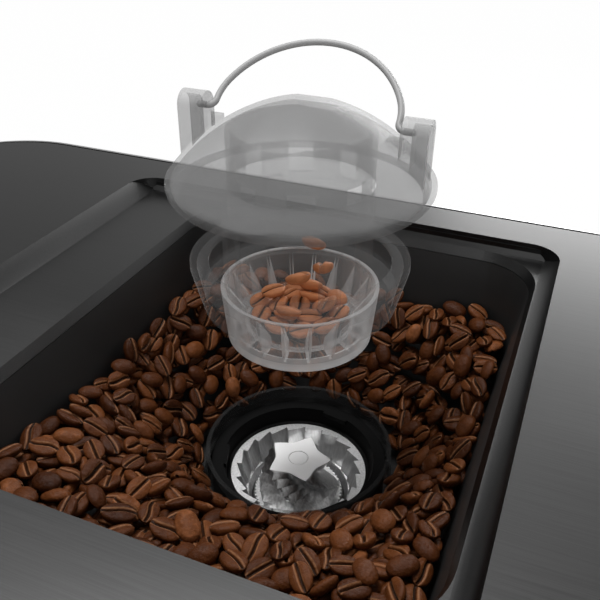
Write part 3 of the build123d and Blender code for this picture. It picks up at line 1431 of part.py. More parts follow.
# Pressure gauge: can with bezel, glass and needle
gauge = rod_y(gauge_x, control_z, gauge_r, head_front_y - 5.0, head_front_y)
gauge = fillet(gauge.edges().group_by(Axis.Y)[0], 1.6)
gauge += rod_y(gauge_x, control_z, gauge_can_r, head_front_y - 1, head_front_y + 20.0)
gauge -= rod_y(gauge_x, control_z, gauge_face_r, head_front_y - 6, head_front_y - 0.4)
needle_y = head_front_y - 1.6
gauge -= rod_y(gauge_x, control_z, 1.0 + shaft_fit, head_front_y - 1, head_front_y + 3)
glass = rod_y(gauge_x, control_z, gauge_face_r - 0.2, head_front_y - 4.2, head_front_y - 3.0)
needle = rod_y(gauge_x, control_z, 1.0, needle_y - 0.6, head_front_y + 2.6)
needle += rod_y(gauge_x, control_z, 2.6, needle_y - 0.8, needle_y)
needle_profile = make_face(Polyline((-1.1, -5.0), (1.1, -5.0), (0.35, 18.0), (-0.35, 18.0), close=True))
needle_blade = extrude(Plane.XZ * needle_profile, 0.25, both=True)
needle += Pos(gauge_x, needle_y - 0.4, control_z) * Rot(0, -135, 0) * needle_blade

steam_dial = knob(steam_dial_x, control_z, knob_r, knob_h, knob_flutes)
steam_dial += rod_y(steam_dial_x, control_z, dial_shaft_r, head_front_y - 1, valve_y0 + 8.0)

nodes = {
    "base_pan": base,
    "rubber_feet": feet,
    "rear_cover": rear_cover,
    "side_panel_left": side_left,
    "side_panel_right": side_right,
    "column_front": column_front,
    "bulkhead": bulkhead,
    "main_shelf": shelf,
    "control_panel": fascia,
    "top_panel": panel,
    "hopper_tub": tub,
    "bean_charge": bed,
    "throat_collar": at_grinder(collar),
    "grinder_housing": housing,
    "adjusting_ring": at_grinder(adjusting_ring),
    "crown_gear": at_grinder(crown_gear),
    "ring_burr": at_grinder(ring_burr),
    "cone_burr": at_grinder(cone_burr),
    "burr_shaft": burr_shaft,
    "burr_bolt": burr_bolt,
    "shaft_bearing": bearing,
    "drive_gear": drive_gear,
    "motor_pinion": motor_pinion,
    "gearbox_case": gearbox,
    "grinder_motor": motor,
    "grounds_chute": chute,
    "portafilter_cradle": cradle,
    "grind_size_dial": size_dial,
    "dome_cap": at_grinder(dome_cap),
    "carrier_body": at_grinder(carrier_body),
    "feed_ring": at_grinder(feed_ring),
    "bail_handle": at_grinder(bail),
    "mounting_screws": screws,
    "group_head": at_group(group),
    "group_gasket": at_group(gasket),
    "shower_screen": at_group(screen),
    "portafilter_cup": at_group(cup),
    "filter_basket": at_group(basket),
    "twin_spout": at_group(spout),
    "portafilter_handle": at_group(handle),
    "steam_wand": wand,
    "wand_grip": wand_grip,
    "thermoblock": thermoblock,
    "water_pump": pump,
    "water_pipes": pipes,
    "steam_valve": valve,
    "steam_dial": steam_dial,
    "pressure_gauge": gauge,
    "gauge_glass": glass,
    "gauge_needle": needle,
    "control_board": board,
    "drip_tray": tray,
    "drip_grate": grate,
    "tray_float": tray_float,
    "water_tank": tank,
    "tank_lid": tank_lid,
    "power_inlet": inlet,
}
for spot_name, spot_x, spot_z in button_spots:
    nodes[spot_name] = press_button(spot_x, spot_z)

for node_name, shape in nodes.items():
    solids = shape if isinstance(shape, list) else [shape]
    whole = Compound([solid for piece in solids for solid in piece.solids()])
    export_step(whole, f"parts/{node_name}.step")
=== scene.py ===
import math
import random
from itertools import product

import bpy
import numpy as np
from mathutils import Matrix, Vector
from mathutils.bvhtree import BVHTree


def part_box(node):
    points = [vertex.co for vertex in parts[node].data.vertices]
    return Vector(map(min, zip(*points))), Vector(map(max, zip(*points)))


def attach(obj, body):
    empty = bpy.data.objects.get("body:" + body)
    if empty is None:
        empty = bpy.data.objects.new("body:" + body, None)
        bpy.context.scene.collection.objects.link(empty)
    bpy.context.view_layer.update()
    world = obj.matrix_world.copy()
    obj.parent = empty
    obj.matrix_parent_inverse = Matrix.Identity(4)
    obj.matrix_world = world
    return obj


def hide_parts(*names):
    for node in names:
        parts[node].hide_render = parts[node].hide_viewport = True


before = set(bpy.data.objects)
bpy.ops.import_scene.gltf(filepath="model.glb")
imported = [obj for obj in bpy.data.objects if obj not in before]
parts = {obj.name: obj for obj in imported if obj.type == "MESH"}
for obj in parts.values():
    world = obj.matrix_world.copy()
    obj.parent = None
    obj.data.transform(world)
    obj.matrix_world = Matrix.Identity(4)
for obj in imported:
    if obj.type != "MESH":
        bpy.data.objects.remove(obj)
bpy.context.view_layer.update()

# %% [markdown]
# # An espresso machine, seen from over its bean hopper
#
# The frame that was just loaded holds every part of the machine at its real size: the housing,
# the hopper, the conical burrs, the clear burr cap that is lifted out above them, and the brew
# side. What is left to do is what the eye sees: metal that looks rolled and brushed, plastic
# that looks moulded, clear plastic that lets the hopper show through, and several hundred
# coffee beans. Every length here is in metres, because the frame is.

MM = 0.001
burr_axis = Vector((0.037, 0.059, 0.320))

# %% [markdown]
# ## The camera
#
# The picture looks down into the hopper from the front right, from some 13 centimetres above the
# panel. A camera's matrix holds three directions of length one and a place. It is written
# out here from the directions of the picture's right and lower edges, because that is how the
# view was measured; an aimed camera with a roll would be the other way, and needs more guesses.

# %% Camera at the picture's view
eye = Vector((0.11881, -0.14166, 0.5330))
look_right = Vector((0.92415, 0.38194, 0.00808))
look_down = Vector((0.20650, -0.48164, -0.85169))
look_ahead = Vector((-0.32140, 0.78876, -0.52398))
image_size = 600
focal_pixels = 735.2

camera_data = bpy.data.cameras.new("picture_camera")
camera_data.sensor_width = 36.0
camera_data.lens = focal_pixels / image_size * camera_data.sensor_width
camera_data.clip_start = 0.01
camera_data.clip_end = 60.0
camera = bpy.data.objects.new("picture_camera", camera_data)
bpy.context.scene.collection.objects.link(camera)
turn = Matrix((look_right, -look_down, -look_ahead)).transposed()
camera.matrix_world = Matrix.Translation(eye) @ turn.to_4x4()
bpy.context.scene.camera = camera
bpy.context.scene.view_settings.view_transform = "Standard"
print("lens:", round(camera_data.lens, 2), "mm")

# %% [markdown]
# ## Shaders as sums
#
# A finish is a recipe of numbers that change over the surface: how much grain, how much wear.
# Such numbers are easiest to read as sums, so a socket is wrapped in a small class whose plus,
# minus and times add the Math nodes. Everything else, from a noise to the shader itself, comes
# from one method that takes the node's type, its settings and its inputs.

# %% A socket that can be added and multiplied
class Grain:
    """A socket in a recipe, with the arithmetic that adds its own Math nodes."""

    def __init__(self, recipe, socket):
        self.recipe = recipe
        self.socket = socket

    def maths(self, operation, *terms):
        terms = dict(enumerate(terms))
        return self.recipe.node("ShaderNodeMath", {"operation": operation}, terms)

    def __add__(self, other):
        return self.maths("ADD", self, other)

    __radd__ = __add__

    def __sub__(self, other):
        return self.maths("SUBTRACT", self, other)

    def __rsub__(self, other):
        return self.maths("SUBTRACT", other, self)

    def __mul__(self, other):
        return self.maths("MULTIPLY", self, other)

    __rmul__ = __mul__

    def __pow__(self, other):
        return self.maths("POWER", self, other)


class Recipe:
    """The node tree of one finish, of the world or of the floor."""

    def __init__(self, tree):
        self.tree = tree
        self.tree.nodes.clear()

    def node(self, kind, settings=None, inputs=None, output=0):
        new = self.tree.nodes.new(kind)
        for key, value in (settings or {}).items():
            if key == "stops":
                while len(new.color_ramp.elements) < len(value):
                    new.color_ramp.elements.new(0.5)
                for stop, (place, colour) in zip(new.color_ramp.elements, value):
                    stop.position = place
                    stop.color = (*colour, 1.0)
            else:
                setattr(new, key, value)
        for key, value in (inputs or {}).items():
            if isinstance(value, Grain):
                self.tree.links.new(value.socket, new.inputs[key])
            else:
                new.inputs[key].default_value = value
        return Grain(self, new.outputs[output])

    def place(self, stretch=(1.0, 1.0, 1.0)):
        """The point on the part, in metres, with each axis stretched."""
        point = self.node("ShaderNodeTexCoord", output="Object")
        return self.node("ShaderNodeMapping", inputs={"Vector": point, "Scale": stretch})

    def noise(self, size, detail=3.0, stretch=(1.0, 1.0, 1.0), rough=0.5):
        """Cloudy noise whose lumps are about size metres across."""
        inputs = {"Vector": self.place(stretch), "Scale": 1.0 / size}
        inputs |= {"Detail": detail, "Roughness": rough}
        return self.node("ShaderNodeTexNoise", inputs=inputs)

    def ramp(self, mask, *stops):
        """A colour that follows a mask through the stops."""
        return self.node("ShaderNodeValToRGB", {"stops": stops}, {"Fac": mask})

    def between(self, mask, low, high):
        """A number that runs from low to high as the mask runs from 0 to 1."""
        return mask * (high - low) + low

    def bump(self, height, depth, strength=1.0):
        """A normal that treats the height, 0 to 1, as depth metres."""
        inputs = {"Height": height, "Distance": depth, "Strength": strength}
        return self.node("ShaderNodeBump", inputs=inputs)

    def point(self, axis):
        """One coordinate of the point on the part, in metres."""
        place = self.node("ShaderNodeTexCoord", output="Object")
        return self.node("ShaderNodeSeparateXYZ", inputs={0: place}, output=axis)

    def rise(self, value, low, high):
        """A mask that climbs smoothly from 0 to 1 as the value goes from low to high."""
        smooth = {"interpolation_type": "SMOOTHSTEP"}
        return self.node("ShaderNodeMapRange", smooth, {0: value, 1: low, 2: high})

    def blend(self, mask, colour, other):
        """One colour laid over another where the mask is 1."""
        inputs = {0: mask, 6: colour, 7: other}
        return self.node("ShaderNodeMix", {"data_type": "RGBA"}, inputs, output=2)


print("socket arithmetic is ready")

# %% [markdown]
# ## Light and floor
#
# The picture is a bright studio one: white all round, one large soft light behind the machine
# on the right, one above it and one in front. The camera sees pure white, and on the floor near
# the machine a soft shadow. A reflection sees a room whose ceiling and left side are dimmer,
# which is what keeps dark plastic dark and makes the flat top run from dark on the left to light
# on the right. One plain white world would put a grey haze over every black surface.

# %% World, softboxes and floor
world = bpy.data.worlds.new("studio")
bpy.context.scene.world = world
world.use_nodes = True
sky = Recipe(world.node_tree)
seen_directly = sky.node("ShaderNodeLightPath", output="Is Camera Ray")
seen_in_gloss = sky.node("ShaderNodeLightPath", output="Is Glossy Ray")
seen_through = sky.node("ShaderNodeLightPath", output="Is Transmission Ray")
direction = sky.node("ShaderNodeTexCoord", output="Generated")
sideways = sky.node("ShaderNodeSeparateXYZ", inputs={0: direction}, output="X")
upwards = sky.node("ShaderNodeSeparateXYZ", inputs={0: direction}, output="Z")
wall_start, wall_full = -0.66, -0.28
ceiling_start, ceiling_full = 0.36, 0.74
dim_ceiling = sky.rise(upwards, ceiling_start, ceiling_full)
bright_wall = sky.rise(sideways, wall_start, wall_full) * (1.0 - dim_ceiling)
white_share = seen_directly + seen_through + seen_in_gloss * bright_wall
white = (1, 1, 1, 1)
room_strength = 0.38
room_light = sky.node("ShaderNodeBackground", inputs={"Color": white, "Strength": room_strength})
white_paper = sky.node("ShaderNodeBackground", inputs={"Color": white, "Strength": 1.0})
sky_end = sky.tree.nodes.new("ShaderNodeOutputWorld")
sky_mix = sky.node("ShaderNodeMixShader", inputs={0: white_share, 1: room_light, 2: white_paper})
sky.tree.links.new(sky_mix.socket, sky_end.inputs["Surface"])


def softbox(name, place, aim, width, height, watts):
    """A rectangular soft lamp that the camera itself doesn't see."""
    lamp_data = bpy.data.lights.new(name, "AREA")
    lamp_data.shape = "RECTANGLE"
    lamp_data.size = width
    lamp_data.size_y = height
    lamp_data.energy = watts
    lamp = bpy.data.objects.new(name, lamp_data)
    bpy.context.scene.collection.objects.link(lamp)
    lamp.location = place
    lamp.rotation_euler = (Vector(aim) - Vector(place)).to_track_quat("-Z", "Y").to_euler()
    lamp.visible_camera = False


softbox("rear_softbox", (0.42, 2.05, 0.98), (0.10, 0.10, 0.40), 1.5, 0.62, 21.0)
softbox("top_softbox", (-0.25, 0.25, 1.7), (0.0, 0.0, 0.35), 0.55, 0.55, 17.0)
softbox("front_softbox", (1.3, -1.9, 1.2), (0.0, 0.0, 0.2), 1.2, 1.2, 11.0)

bpy.ops.mesh.primitive_plane_add(size=14.0, location=(0, 0, 0))
floor = bpy.context.object
floor.name = "pale_floor"
floor_finish = bpy.data.materials.new("pale_floor")
floor_finish.use_nodes = True
paper = Recipe(floor_finish.node_tree)
paper_grey = (0.86, 0.86, 0.86, 1)
paper_matt = paper.node(
    "ShaderNodeBsdfPrincipled", inputs={"Base Color": paper_grey, "Roughness": 0.9}
)
paper_glow = paper.node("ShaderNodeEmission", inputs={"Color": white, "Strength": 1.0})
near_squared, far_squared = 0.06, 0.7
distance_squared = paper.point("X") ** 2.0 + paper.point("Y") ** 2.0
far_share = paper.rise(distance_squared, near_squared, far_squared)
near_glow = 0.57
far_glow = 0.42
to_camera = paper.node("ShaderNodeLightPath", output="Is Camera Ray")
glow_share = to_camera * (far_share * far_glow + near_glow)
paper_end = paper.tree.nodes.new("ShaderNodeOutputMaterial")
paper_mix = paper.node("ShaderNodeMixShader", inputs={0: glow_share, 1: paper_matt, 2: paper_glow})
paper.tree.links.new(paper_mix.socket, paper_end.inputs["Surface"])
floor.data.materials.append(floor_finish)
film_surfaces = 40
bpy.context.scene.cycles.transparent_max_bounces = film_surfaces

# %% [markdown]
# ## Opaque finishes
#
# Brushed steel is a mirror with thousands of hair-fine scratches in one direction, so its grain
# is a noise stretched hundreds of times along the rolling direction, fed to the roughness and
# to a very shallow bump. Moulded plastic has a fine pebble from the tool instead, the same in
# all directions. Both also get a slow cloudiness, because no real surface has one roughness.

# %% Finishes that don't let light through
def finish(name, build, **constants):
    """A material: build gives what varies, and constants go on the shader's own sockets."""
    material = bpy.data.materials.new(name)
    material.use_nodes = True
    recipe = Recipe(material.node_tree)
    varying = build(recipe)
    inputs = {key.replace("_", " "): value for key, value in constants.items()}
    shader = recipe.node("ShaderNodeBsdfPrincipled", inputs={**inputs, **varying})
    end = recipe.tree.nodes.new("ShaderNodeOutputMaterial")
    recipe.tree.links.new(shader.socket, end.inputs["Surface"])
    return material


hair_stretch = 0.012
scratch_depth = 0.000012


def brushed(tone_low, tone_high, rough_low, rough_high, along=(1, 0, 0), grain=0.00035):
    """Rolled and brushed metal, its grain along one axis."""

    def build(recipe):
        stretch = tuple(hair_stretch if a else 1.0 for a in along)
        hair = recipe.noise(grain, 2.0, stretch)
        cloud = recipe.noise(0.09, 2.0)
        mask = hair * 0.7 + cloud * 0.3
        colour = recipe.ramp(mask, (0.3, tone_low), (0.7, tone_high))
        return {
            "Base Color": colour,
            "Roughness": recipe.between(mask, rough_low, rough_high),
            "Normal": recipe.bump(hair, scratch_depth, 0.5),
            "Metallic": 1.0,
        }

    return build


def moulded(tone_low, tone_high, rough_low, rough_high, pebble=0.0004, depth=0.00003):
    """Moulded plastic or rubber with a fine pebble from its tool."""

    def build(recipe):
        grain = recipe.noise(pebble, 2.0)
        cloud = recipe.noise(0.05, 3.0)
        return {
            "Base Color": recipe.ramp(cloud, (0.35, tone_low), (0.65, tone_high)),
            "Roughness": recipe.between(cloud, rough_low, rough_high),
            "Normal": recipe.bump(grain, depth, 0.6),
        }

    return build


def grey(value):
    """A colour without any hue."""
    return (value, value, value)


upright = (0, 0, 1)
finish("dark_brushed_steel", brushed(grey(0.052), grey(0.064), 0.30, 0.40), Anisotropic=0.3)
finish("brushed_steel_wrap", brushed(grey(0.40), grey(0.50), 0.24, 0.36, upright))
finish("brushed_steel_front", brushed(grey(0.42), grey(0.52), 0.24, 0.36))
finish("polished_steel", brushed(grey(0.66), grey(0.72), 0.08, 0.14, grain=0.004))
finish("turned_drive_steel", brushed(grey(0.42), grey(0.52), 0.30, 0.42, grain=0.0012))
finish("ring_burr_steel", brushed(grey(0.56), grey(0.80), 0.30, 0.46, upright, 0.0008))
finish("machined_brass", brushed((0.50, 0.34, 0.12), (0.60, 0.42, 0.16), 0.25, 0.4))
alloy_skin = moulded(grey(0.42), grey(0.52), 0.45, 0.6, pebble=0.0009, depth=0.00006)
finish("cast_alloy", alloy_skin, Metallic=1.0)
finish("black_moulded_plastic", moulded(grey(0.010), grey(0.014), 0.42, 0.52))
finish("grey_moulded_plastic", moulded(grey(0.10), grey(0.13), 0.45, 0.55))
# Painted shade: the adjusting ring deep in the throat gets a far darker copy of the black plastic,
# with less gloss.
throat_painted_shade_skin = moulded(grey(0.0016), grey(0.0024), 0.5, 0.6)
finish("throat_plastic_painted_shade", throat_painted_shade_skin, Specular_IOR_Level=0.08)
finish("black_rubber", moulded(grey(0.012), grey(0.02), 0.7, 0.85, 0.0006, 0.00006))
finish("pale_silicone", moulded(grey(0.60), grey(0.68), 0.4, 0.5))
finish("circuit_board", moulded((0.01, 0.09, 0.04), (0.015, 0.12, 0.05), 0.3, 0.45))
finish("red_plastic", moulded((0.50, 0.02, 0.015), (0.60, 0.03, 0.02), 0.3, 0.4))
finish("grey_bail_plastic", moulded(grey(0.33), grey(0.38), 0.45, 0.55))
dial_white = finish("dial_white", moulded(grey(0.78), grey(0.84), 0.4, 0.5))
ink_skin = moulded(grey(0.012), grey(0.018), 0.35, 0.45, 0.0002, 0.000004)
ink_black = finish("printed_black", ink_skin)

star_top = burr_axis.z + 5.8 * MM


def ground_cone(recipe):
    """Steel whose flat top is painted almost white, as painted light on the face that looks up,
    while the blades below keep their darker grain.
    """
    hair = recipe.noise(0.0009, 2.0, (1.0, 1.0, 0.08))
    scratch = recipe.noise(0.0005, 2.0, (0.04, 1.0, 1.0))
    top = recipe.rise(recipe.point("Z"), star_top - 0.9 * MM, star_top - 0.1 * MM)
    blades = recipe.ramp(hair, (0.3, grey(0.50)), (0.7, grey(0.80)))
    return {
        # Painted highlight: the flat top is painted near white, while the blades keep their grain.
        "Base Color": recipe.blend(top, blades, (0.98, 0.98, 0.98, 1)),
        "Roughness": recipe.between(top, 0.30, 0.54) + hair * 0.06,
        "Normal": recipe.bump(hair + scratch * top, 0.000020, 0.5),
    }


finish("cone_steel_painted_top_light", ground_cone, Metallic=1.0)
print("materials now, with the frame's own:", len(bpy.data.materials))

# %% [markdown]
# ## Clear finishes
#
# The lifted burr cap is smoky clear plastic. A true glass shader would bend everything behind
# it and needs many light bounces, while thin plastic hardly bends light at all. So each wall is
# drawn as a thin grey film: partly see-through, and denser where it is seen edge on. The films
# add up: the four surfaces or more of the dome leave about a fifth of what is behind it, and one
# or two walls of a ring leave almost all of it. Some places, such as the dome's ears and the
# feed ring's foot, are thicker, so a film may have a zone with its own tone and alpha; the ears'
# paler tone is painted light that lifts them out of their shade. A film may also be painted
# paler where it is seen edge on, as a painted highlight along its cut edges.

# %% Films of clear plastic
highlight_edge_starts, highlight_edge_full = 0.72, 0.97


def film(tone, flat_alpha, edge_alpha, edge_power=2.0, painted_edge_highlight_tone=None, zone=None):
    """A thin clear wall, denser at a slant. A zone is its mask, its tone and its alpha. An edge
    tone is a painted highlight, painted where the wall is seen edge on.
    """

    def build(recipe):
        slant = recipe.node("ShaderNodeLayerWeight", inputs={"Blend": 0.5}, output="Facing")
        cloud = recipe.noise(0.02, 2.0)
        alpha = slant**edge_power * (edge_alpha - flat_alpha) + flat_alpha
        colour = recipe.ramp(cloud, (0.3, grey(tone * 0.96)), (0.7, grey(tone * 1.04)))
        if painted_edge_highlight_tone:
            # Painted highlight: the wall is painted paler where it is seen edge on.
            painted_edge_mask = recipe.rise(slant, highlight_edge_starts, highlight_edge_full)
            colour = recipe.blend(painted_edge_mask, colour, (*grey(painted_edge_highlight_tone), 1))
        if zone:
            find_zone, zone_tone, zone_alpha = zone
            mask = find_zone(recipe)
            alpha = alpha + mask * (zone_alpha - alpha)
            colour = recipe.blend(mask, colour, (*grey(zone_tone), 1))
        return {
            "Base Color": colour,
            "Alpha": alpha,
            "Roughness": recipe.between(cloud, 0.28, 0.36),
        }

    return build


def ear_zone(recipe):
    """1 on the dome's two ears, which stand out above the fall of its side, and 0 on the dome."""
    away = recipe.point("X") - burr_axis.x
    out = recipe.node("ShaderNodeMath", {"operation": "ABSOLUTE"}, {0: away})
    height = recipe.point("Z") - burr_axis.z
    side_fall = 0.98
    above = recipe.rise(height + out * side_fall, 168.0 * MM, 168.6 * MM)
    return recipe.rise(out, 31.2 * MM, 31.6 * MM) * above


def cage_zone(recipe):
    """1 on the top of the cage tube, which stands inside the dome."""
    return recipe.rise(recipe.point("Z") - burr_axis.z, 122.6 * MM, 123.0 * MM)


def foot_zone(recipe):
    """1 on the feed ring's solid foot and on its upper lip, 0 on the clear wall between them."""
    height = recipe.point("Z") - burr_axis.z
    foot = 1.0 - recipe.rise(height, 70.6 * MM, 71.4 * MM)
    return foot + recipe.rise(height, 86.0 * MM, 86.4 * MM)


# The ears' denser film is their thicker wall; their paler tone is painted light, lifting them out
# of their shade.
dome_walls = film(0.26, 0.31, 0.33, zone=(ear_zone, 0.40, 0.42))
cap_walls = film(0.26, 0.06, 0.42, 3.0, painted_edge_highlight_tone=0.62, zone=(cage_zone, 0.21, 0.27))
ring_walls = film(0.95, 0.07, 0.88, 1.9, zone=(foot_zone, 0.88, 0.48))
finish("smoky_dome_plastic", dome_walls, Specular_IOR_Level=0.1)
finish("smoky_cap_plastic", cap_walls, Specular_IOR_Level=0.3)
finish("clear_ring_plastic", ring_walls, Specular_IOR_Level=0.5)
finish("clear_collar_plastic", film(0.05, 0.24, 0.50), Specular_IOR_Level=0.2)
finish("clear_tank_plastic", film(0.45, 0.12, 0.45))
finish("gauge_lens_glass", film(0.5, 0.03, 0.4))
print("clear finishes ready")

# %% [markdown]
# ## Which part gets which finish
#
# Parts that the frame already has in their right shape only need a material. One table says
# which, so that nothing is left with the plain colour that it came with.

# %% Finish of every part in the frame
finish_of = {
    "dark_brushed_steel": ["top_panel", "power_inlet"],
    "brushed_steel_wrap": ["rear_cover", "side_panel_left", "side_panel_right", "bulkhead"],
    "brushed_steel_front": ["column_front", "control_panel", "drip_grate", "shower_screen"],
    "polished_steel": [
        "group_head", "portafilter_cup", "filter_basket", "twin_spout", "steam_wand",
        "pressure_gauge", "grind_size_dial", "steam_dial",
        "single_cup_button", "double_cup_button", "power_button",
    ],
    "turned_drive_steel": [
        "burr_shaft", "shaft_bearing", "drive_gear", "motor_pinion", "mounting_screws",
    ],
    "ring_burr_steel": ["ring_burr"],
    "cone_steel_painted_top_light": ["cone_burr", "burr_bolt"],
    "cast_alloy": ["grinder_housing", "thermoblock"],
    "machined_brass": ["steam_valve"],
    "black_moulded_plastic": [
        "base_pan", "hopper_tub", "portafilter_cradle", "grounds_chute", "crown_gear",
        "portafilter_handle",
    ],
    "throat_plastic_painted_shade": ["adjusting_ring"],
    "grey_moulded_plastic": [
        "main_shelf", "gearbox_case", "grinder_motor", "water_pump", "drip_tray",
    ],
    "black_rubber": ["rubber_feet", "group_gasket", "wand_grip"],
    "pale_silicone": ["water_pipes"],
    "circuit_board": ["control_board"],
    "red_plastic": ["tray_float", "gauge_needle"],
    "grey_bail_plastic": ["bail_handle"],
    "smoky_dome_plastic": ["dome_cap"],
    "smoky_cap_plastic": ["carrier_body"],
    "clear_ring_plastic": ["feed_ring"],
    "clear_collar_plastic": ["throat_collar"],
    "clear_tank_plastic": ["water_tank", "tank_lid"],
    "gauge_lens_glass": ["gauge_glass"],
}
dressed = set()
for material_name, names in finish_of.items():
    for name in names:
        for slot in parts[name].material_slots:
            slot.material = bpy.data.materials[material_name]
        dressed.add(name)
print("left for the loose beans:", sorted(set(parts) - dressed))

# %% [markdown]
# ## One coffee bean
#
# A roasted bean is half an egg: round on its back, flatter in front, with a crease that runs
# down the flat side in a shallow S and a swollen lip along each side of the crease. It could be
# sculpted, but it is needed hundreds of times, so it is worked out as a small table of rings.
# The angles round each ring crowd together at the crease, the only place that needs them.

# %% The shape of a bean
ring_angles = np.radians([0, 28, 56, 80, 98, 116, 134, 150, 162, 170, 175, 178])
ring_angles = np.concatenate([ring_angles, [math.pi], 2 * math.pi - ring_angles[:0:-1]])
stations = np.sin(np.linspace(-0.5 * math.pi, 0.5 * math.pi, 15))[1:-1]


def hill(distance, width):
    """A bell curve: 1 at its middle and close to 0 at twice its width."""
    return math.exp(-((distance / width) ** 2))


def bean_shape(half_length, half_width, back, front, swirl):
    """Points and crease mask of one bean that lies along X, its flat side down."""
    crease_width = 0.15 * half_width
    lip_place = 0.32 * half_width
    lip_width = 0.13 * half_width
    points = [(-half_length, 0.0, 0.0)]
    crease = [0.0]
    for t in stations:
        fullness = (1.0 - abs(t) ** 2.3) ** 0.52
        for angle in ring_angles:
            side = math.sin(angle)
            up = math.cos(angle)
            y = half_width * fullness * math.copysign(abs(side) ** 0.92, side)
            if up > 0:
                z = back * fullness * up
            else:
                z = -front * fullness * abs(up) ** 0.62
            shift = swirl * math.sin(t * math.pi) * max(0.0, -up) ** 2
            depth = hill(y, crease_width) if up < 0 else 0.0
            lip = hill(abs(y) - lip_place, lip_width) if up < 0 else 0.0
            z += (depth * 0.95 - lip * 0.13) * front * (1 - t**6)
            points.append((half_length * t, y + shift, z))
            crease.append(depth)
    points.append((half_length, 0.0, 0.0))
    crease.append(0.0)
    return np.array(points), np.array(crease)


def bean_faces():
    """Quads between the rings, and triangles at both tips."""
    around = len(ring_angles)
    rings = len(stations)
    faces = []
    for j in range(around):
        faces.append((0, 1 + (j + 1) % around, 1 + j))
        last = 1 + (rings - 1) * around
        faces.append((last + j, last + (j + 1) % around, last + around))
    for i, j in product(range(rings - 1), range(around)):
        low = 1 + i * around
        high = low + around
        faces.append((low + j, low + (j + 1) % around, high + (j + 1) % around, high + j))
    return faces


bean_kinds = []
shapes_of_bean = 10
draw = random.Random(7)
for _ in range(shapes_of_bean):
    half_length = draw.uniform(4.3, 5.2) * MM
    half_width = half_length * draw.uniform(0.70, 0.80)
    back = half_width * draw.uniform(0.64, 0.78)
    front = back * draw.uniform(0.42, 0.56)
    swirl = draw.uniform(-0.45, 0.45) * MM
    bean_kinds.append(bean_shape(half_length, half_width, back, front, swirl))
one_bean_faces = bean_faces()
print("points in a bean:", len(bean_kinds[0][0]), "faces:", len(one_bean_faces))


def bean_mesh(name, placed):
    """One mesh of many beans. Each is a kind, a turn, a place and a roast from 0 to 1, or above 1
    where the bean is painted paler as painted light.
    """
    count = len(bean_kinds[0][0])
    clouds = [bean_kinds[k][0] @ np.array(r).T + np.array(p) for k, r, p, _ in placed]
    points = np.concatenate(clouds)
    crease = np.concatenate([bean_kinds[k][1] for k, _, _, _ in placed])
    roast = np.concatenate([np.full(count, shade) for _, _, _, shade in placed])
    starts = range(0, count * len(placed), count)
    faces = [tuple(v + start for v in face) for start in starts for face in one_bean_faces]
    mesh = bpy.data.meshes.new(name)
    mesh.from_pydata(points.tolist(), [], faces)
    mesh.polygons.foreach_set("use_smooth", [True] * len(mesh.polygons))
    for key, values in (("crease", crease), ("roast", roast)):
        layer = mesh.attributes.new(key, "FLOAT", "POINT")
        layer.data.foreach_set("value", values.astype(np.float32))
    mesh.validate()
    piece = bpy.data.objects.new(name, mesh)
    bpy.context.scene.collection.objects.link(piece)
    return piece


# %% [markdown]
# ## How roasted beans look
#
# Each bean was roasted a little more or less than its neighbour, so every bean carries its own
# roast number. The skin is mottled and oily enough for a small sharp highlight. The crease is
# painted nearly black in its deepest part, as painted shade, and paler on the lip on each side.

# %% Roasted skin
def roasted(recipe):
    """Mottled brown skin, with painted shade darkening the crease and paler lips beside it."""
    roast = recipe.node("ShaderNodeAttribute", {"attribute_name": "roast"}, output="Fac")
    crease = recipe.node("ShaderNodeAttribute", {"attribute_name": "crease"}, output="Fac")
    mottle = recipe.noise(0.0030, 5.0, rough=0.6)
    skin = recipe.noise(0.0012, 4.0, rough=0.65)
    mask = roast * 0.62 + mottle * 0.38
    # The palest stop is reached mostly by beans whose roast is set above 1, as painted light.
    brown = recipe.ramp(
        mask,
        (0.15, (0.026, 0.0072, 0.0022)),
        (0.45, (0.062, 0.0180, 0.0050)),
        (0.70, (0.130, 0.0410, 0.0120)),
        (1.0, (0.520, 0.200, 0.085)),
    )
    lip = recipe.rise(crease, 0.02, 0.14) - recipe.rise(crease, 0.22, 0.45)
    lipped = recipe.blend(lip * skin * 0.95, brown, (0.34, 0.16, 0.075, 1))
    # Painted shade: the deepest part of the crease is painted nearly black.
    painted_crease_shade = recipe.rise(crease, 0.38, 0.78) * 0.90
    colour = recipe.blend(painted_crease_shade, lipped, (0.014, 0.0055, 0.0025, 1))
    return {
        "Base Color": colour,
        "Roughness": recipe.between(skin, 0.22, 0.50),
        "Normal": recipe.bump(skin * 0.5 + mottle * 0.5, 0.0011, 0.8),
    }


bean_skin = finish("roasted_bean_skin", roasted, Specular_IOR_Level=0.11)

# %% [markdown]
# ## Filling the hopper
#
# A physics run could drop the beans, but it takes minutes and is hard to repeat exactly. Beans
# are put down one at a time instead, on a map of heights with one cell to each millimetre. The
# map starts from the frame's own bean bed: a ray goes down on it in each cell. Away from the
# throat the pile is heaped a little over that bed, and in front of the throat, in a fan towards
# the picture's eye, it dips, because beans there have run into the burrs.

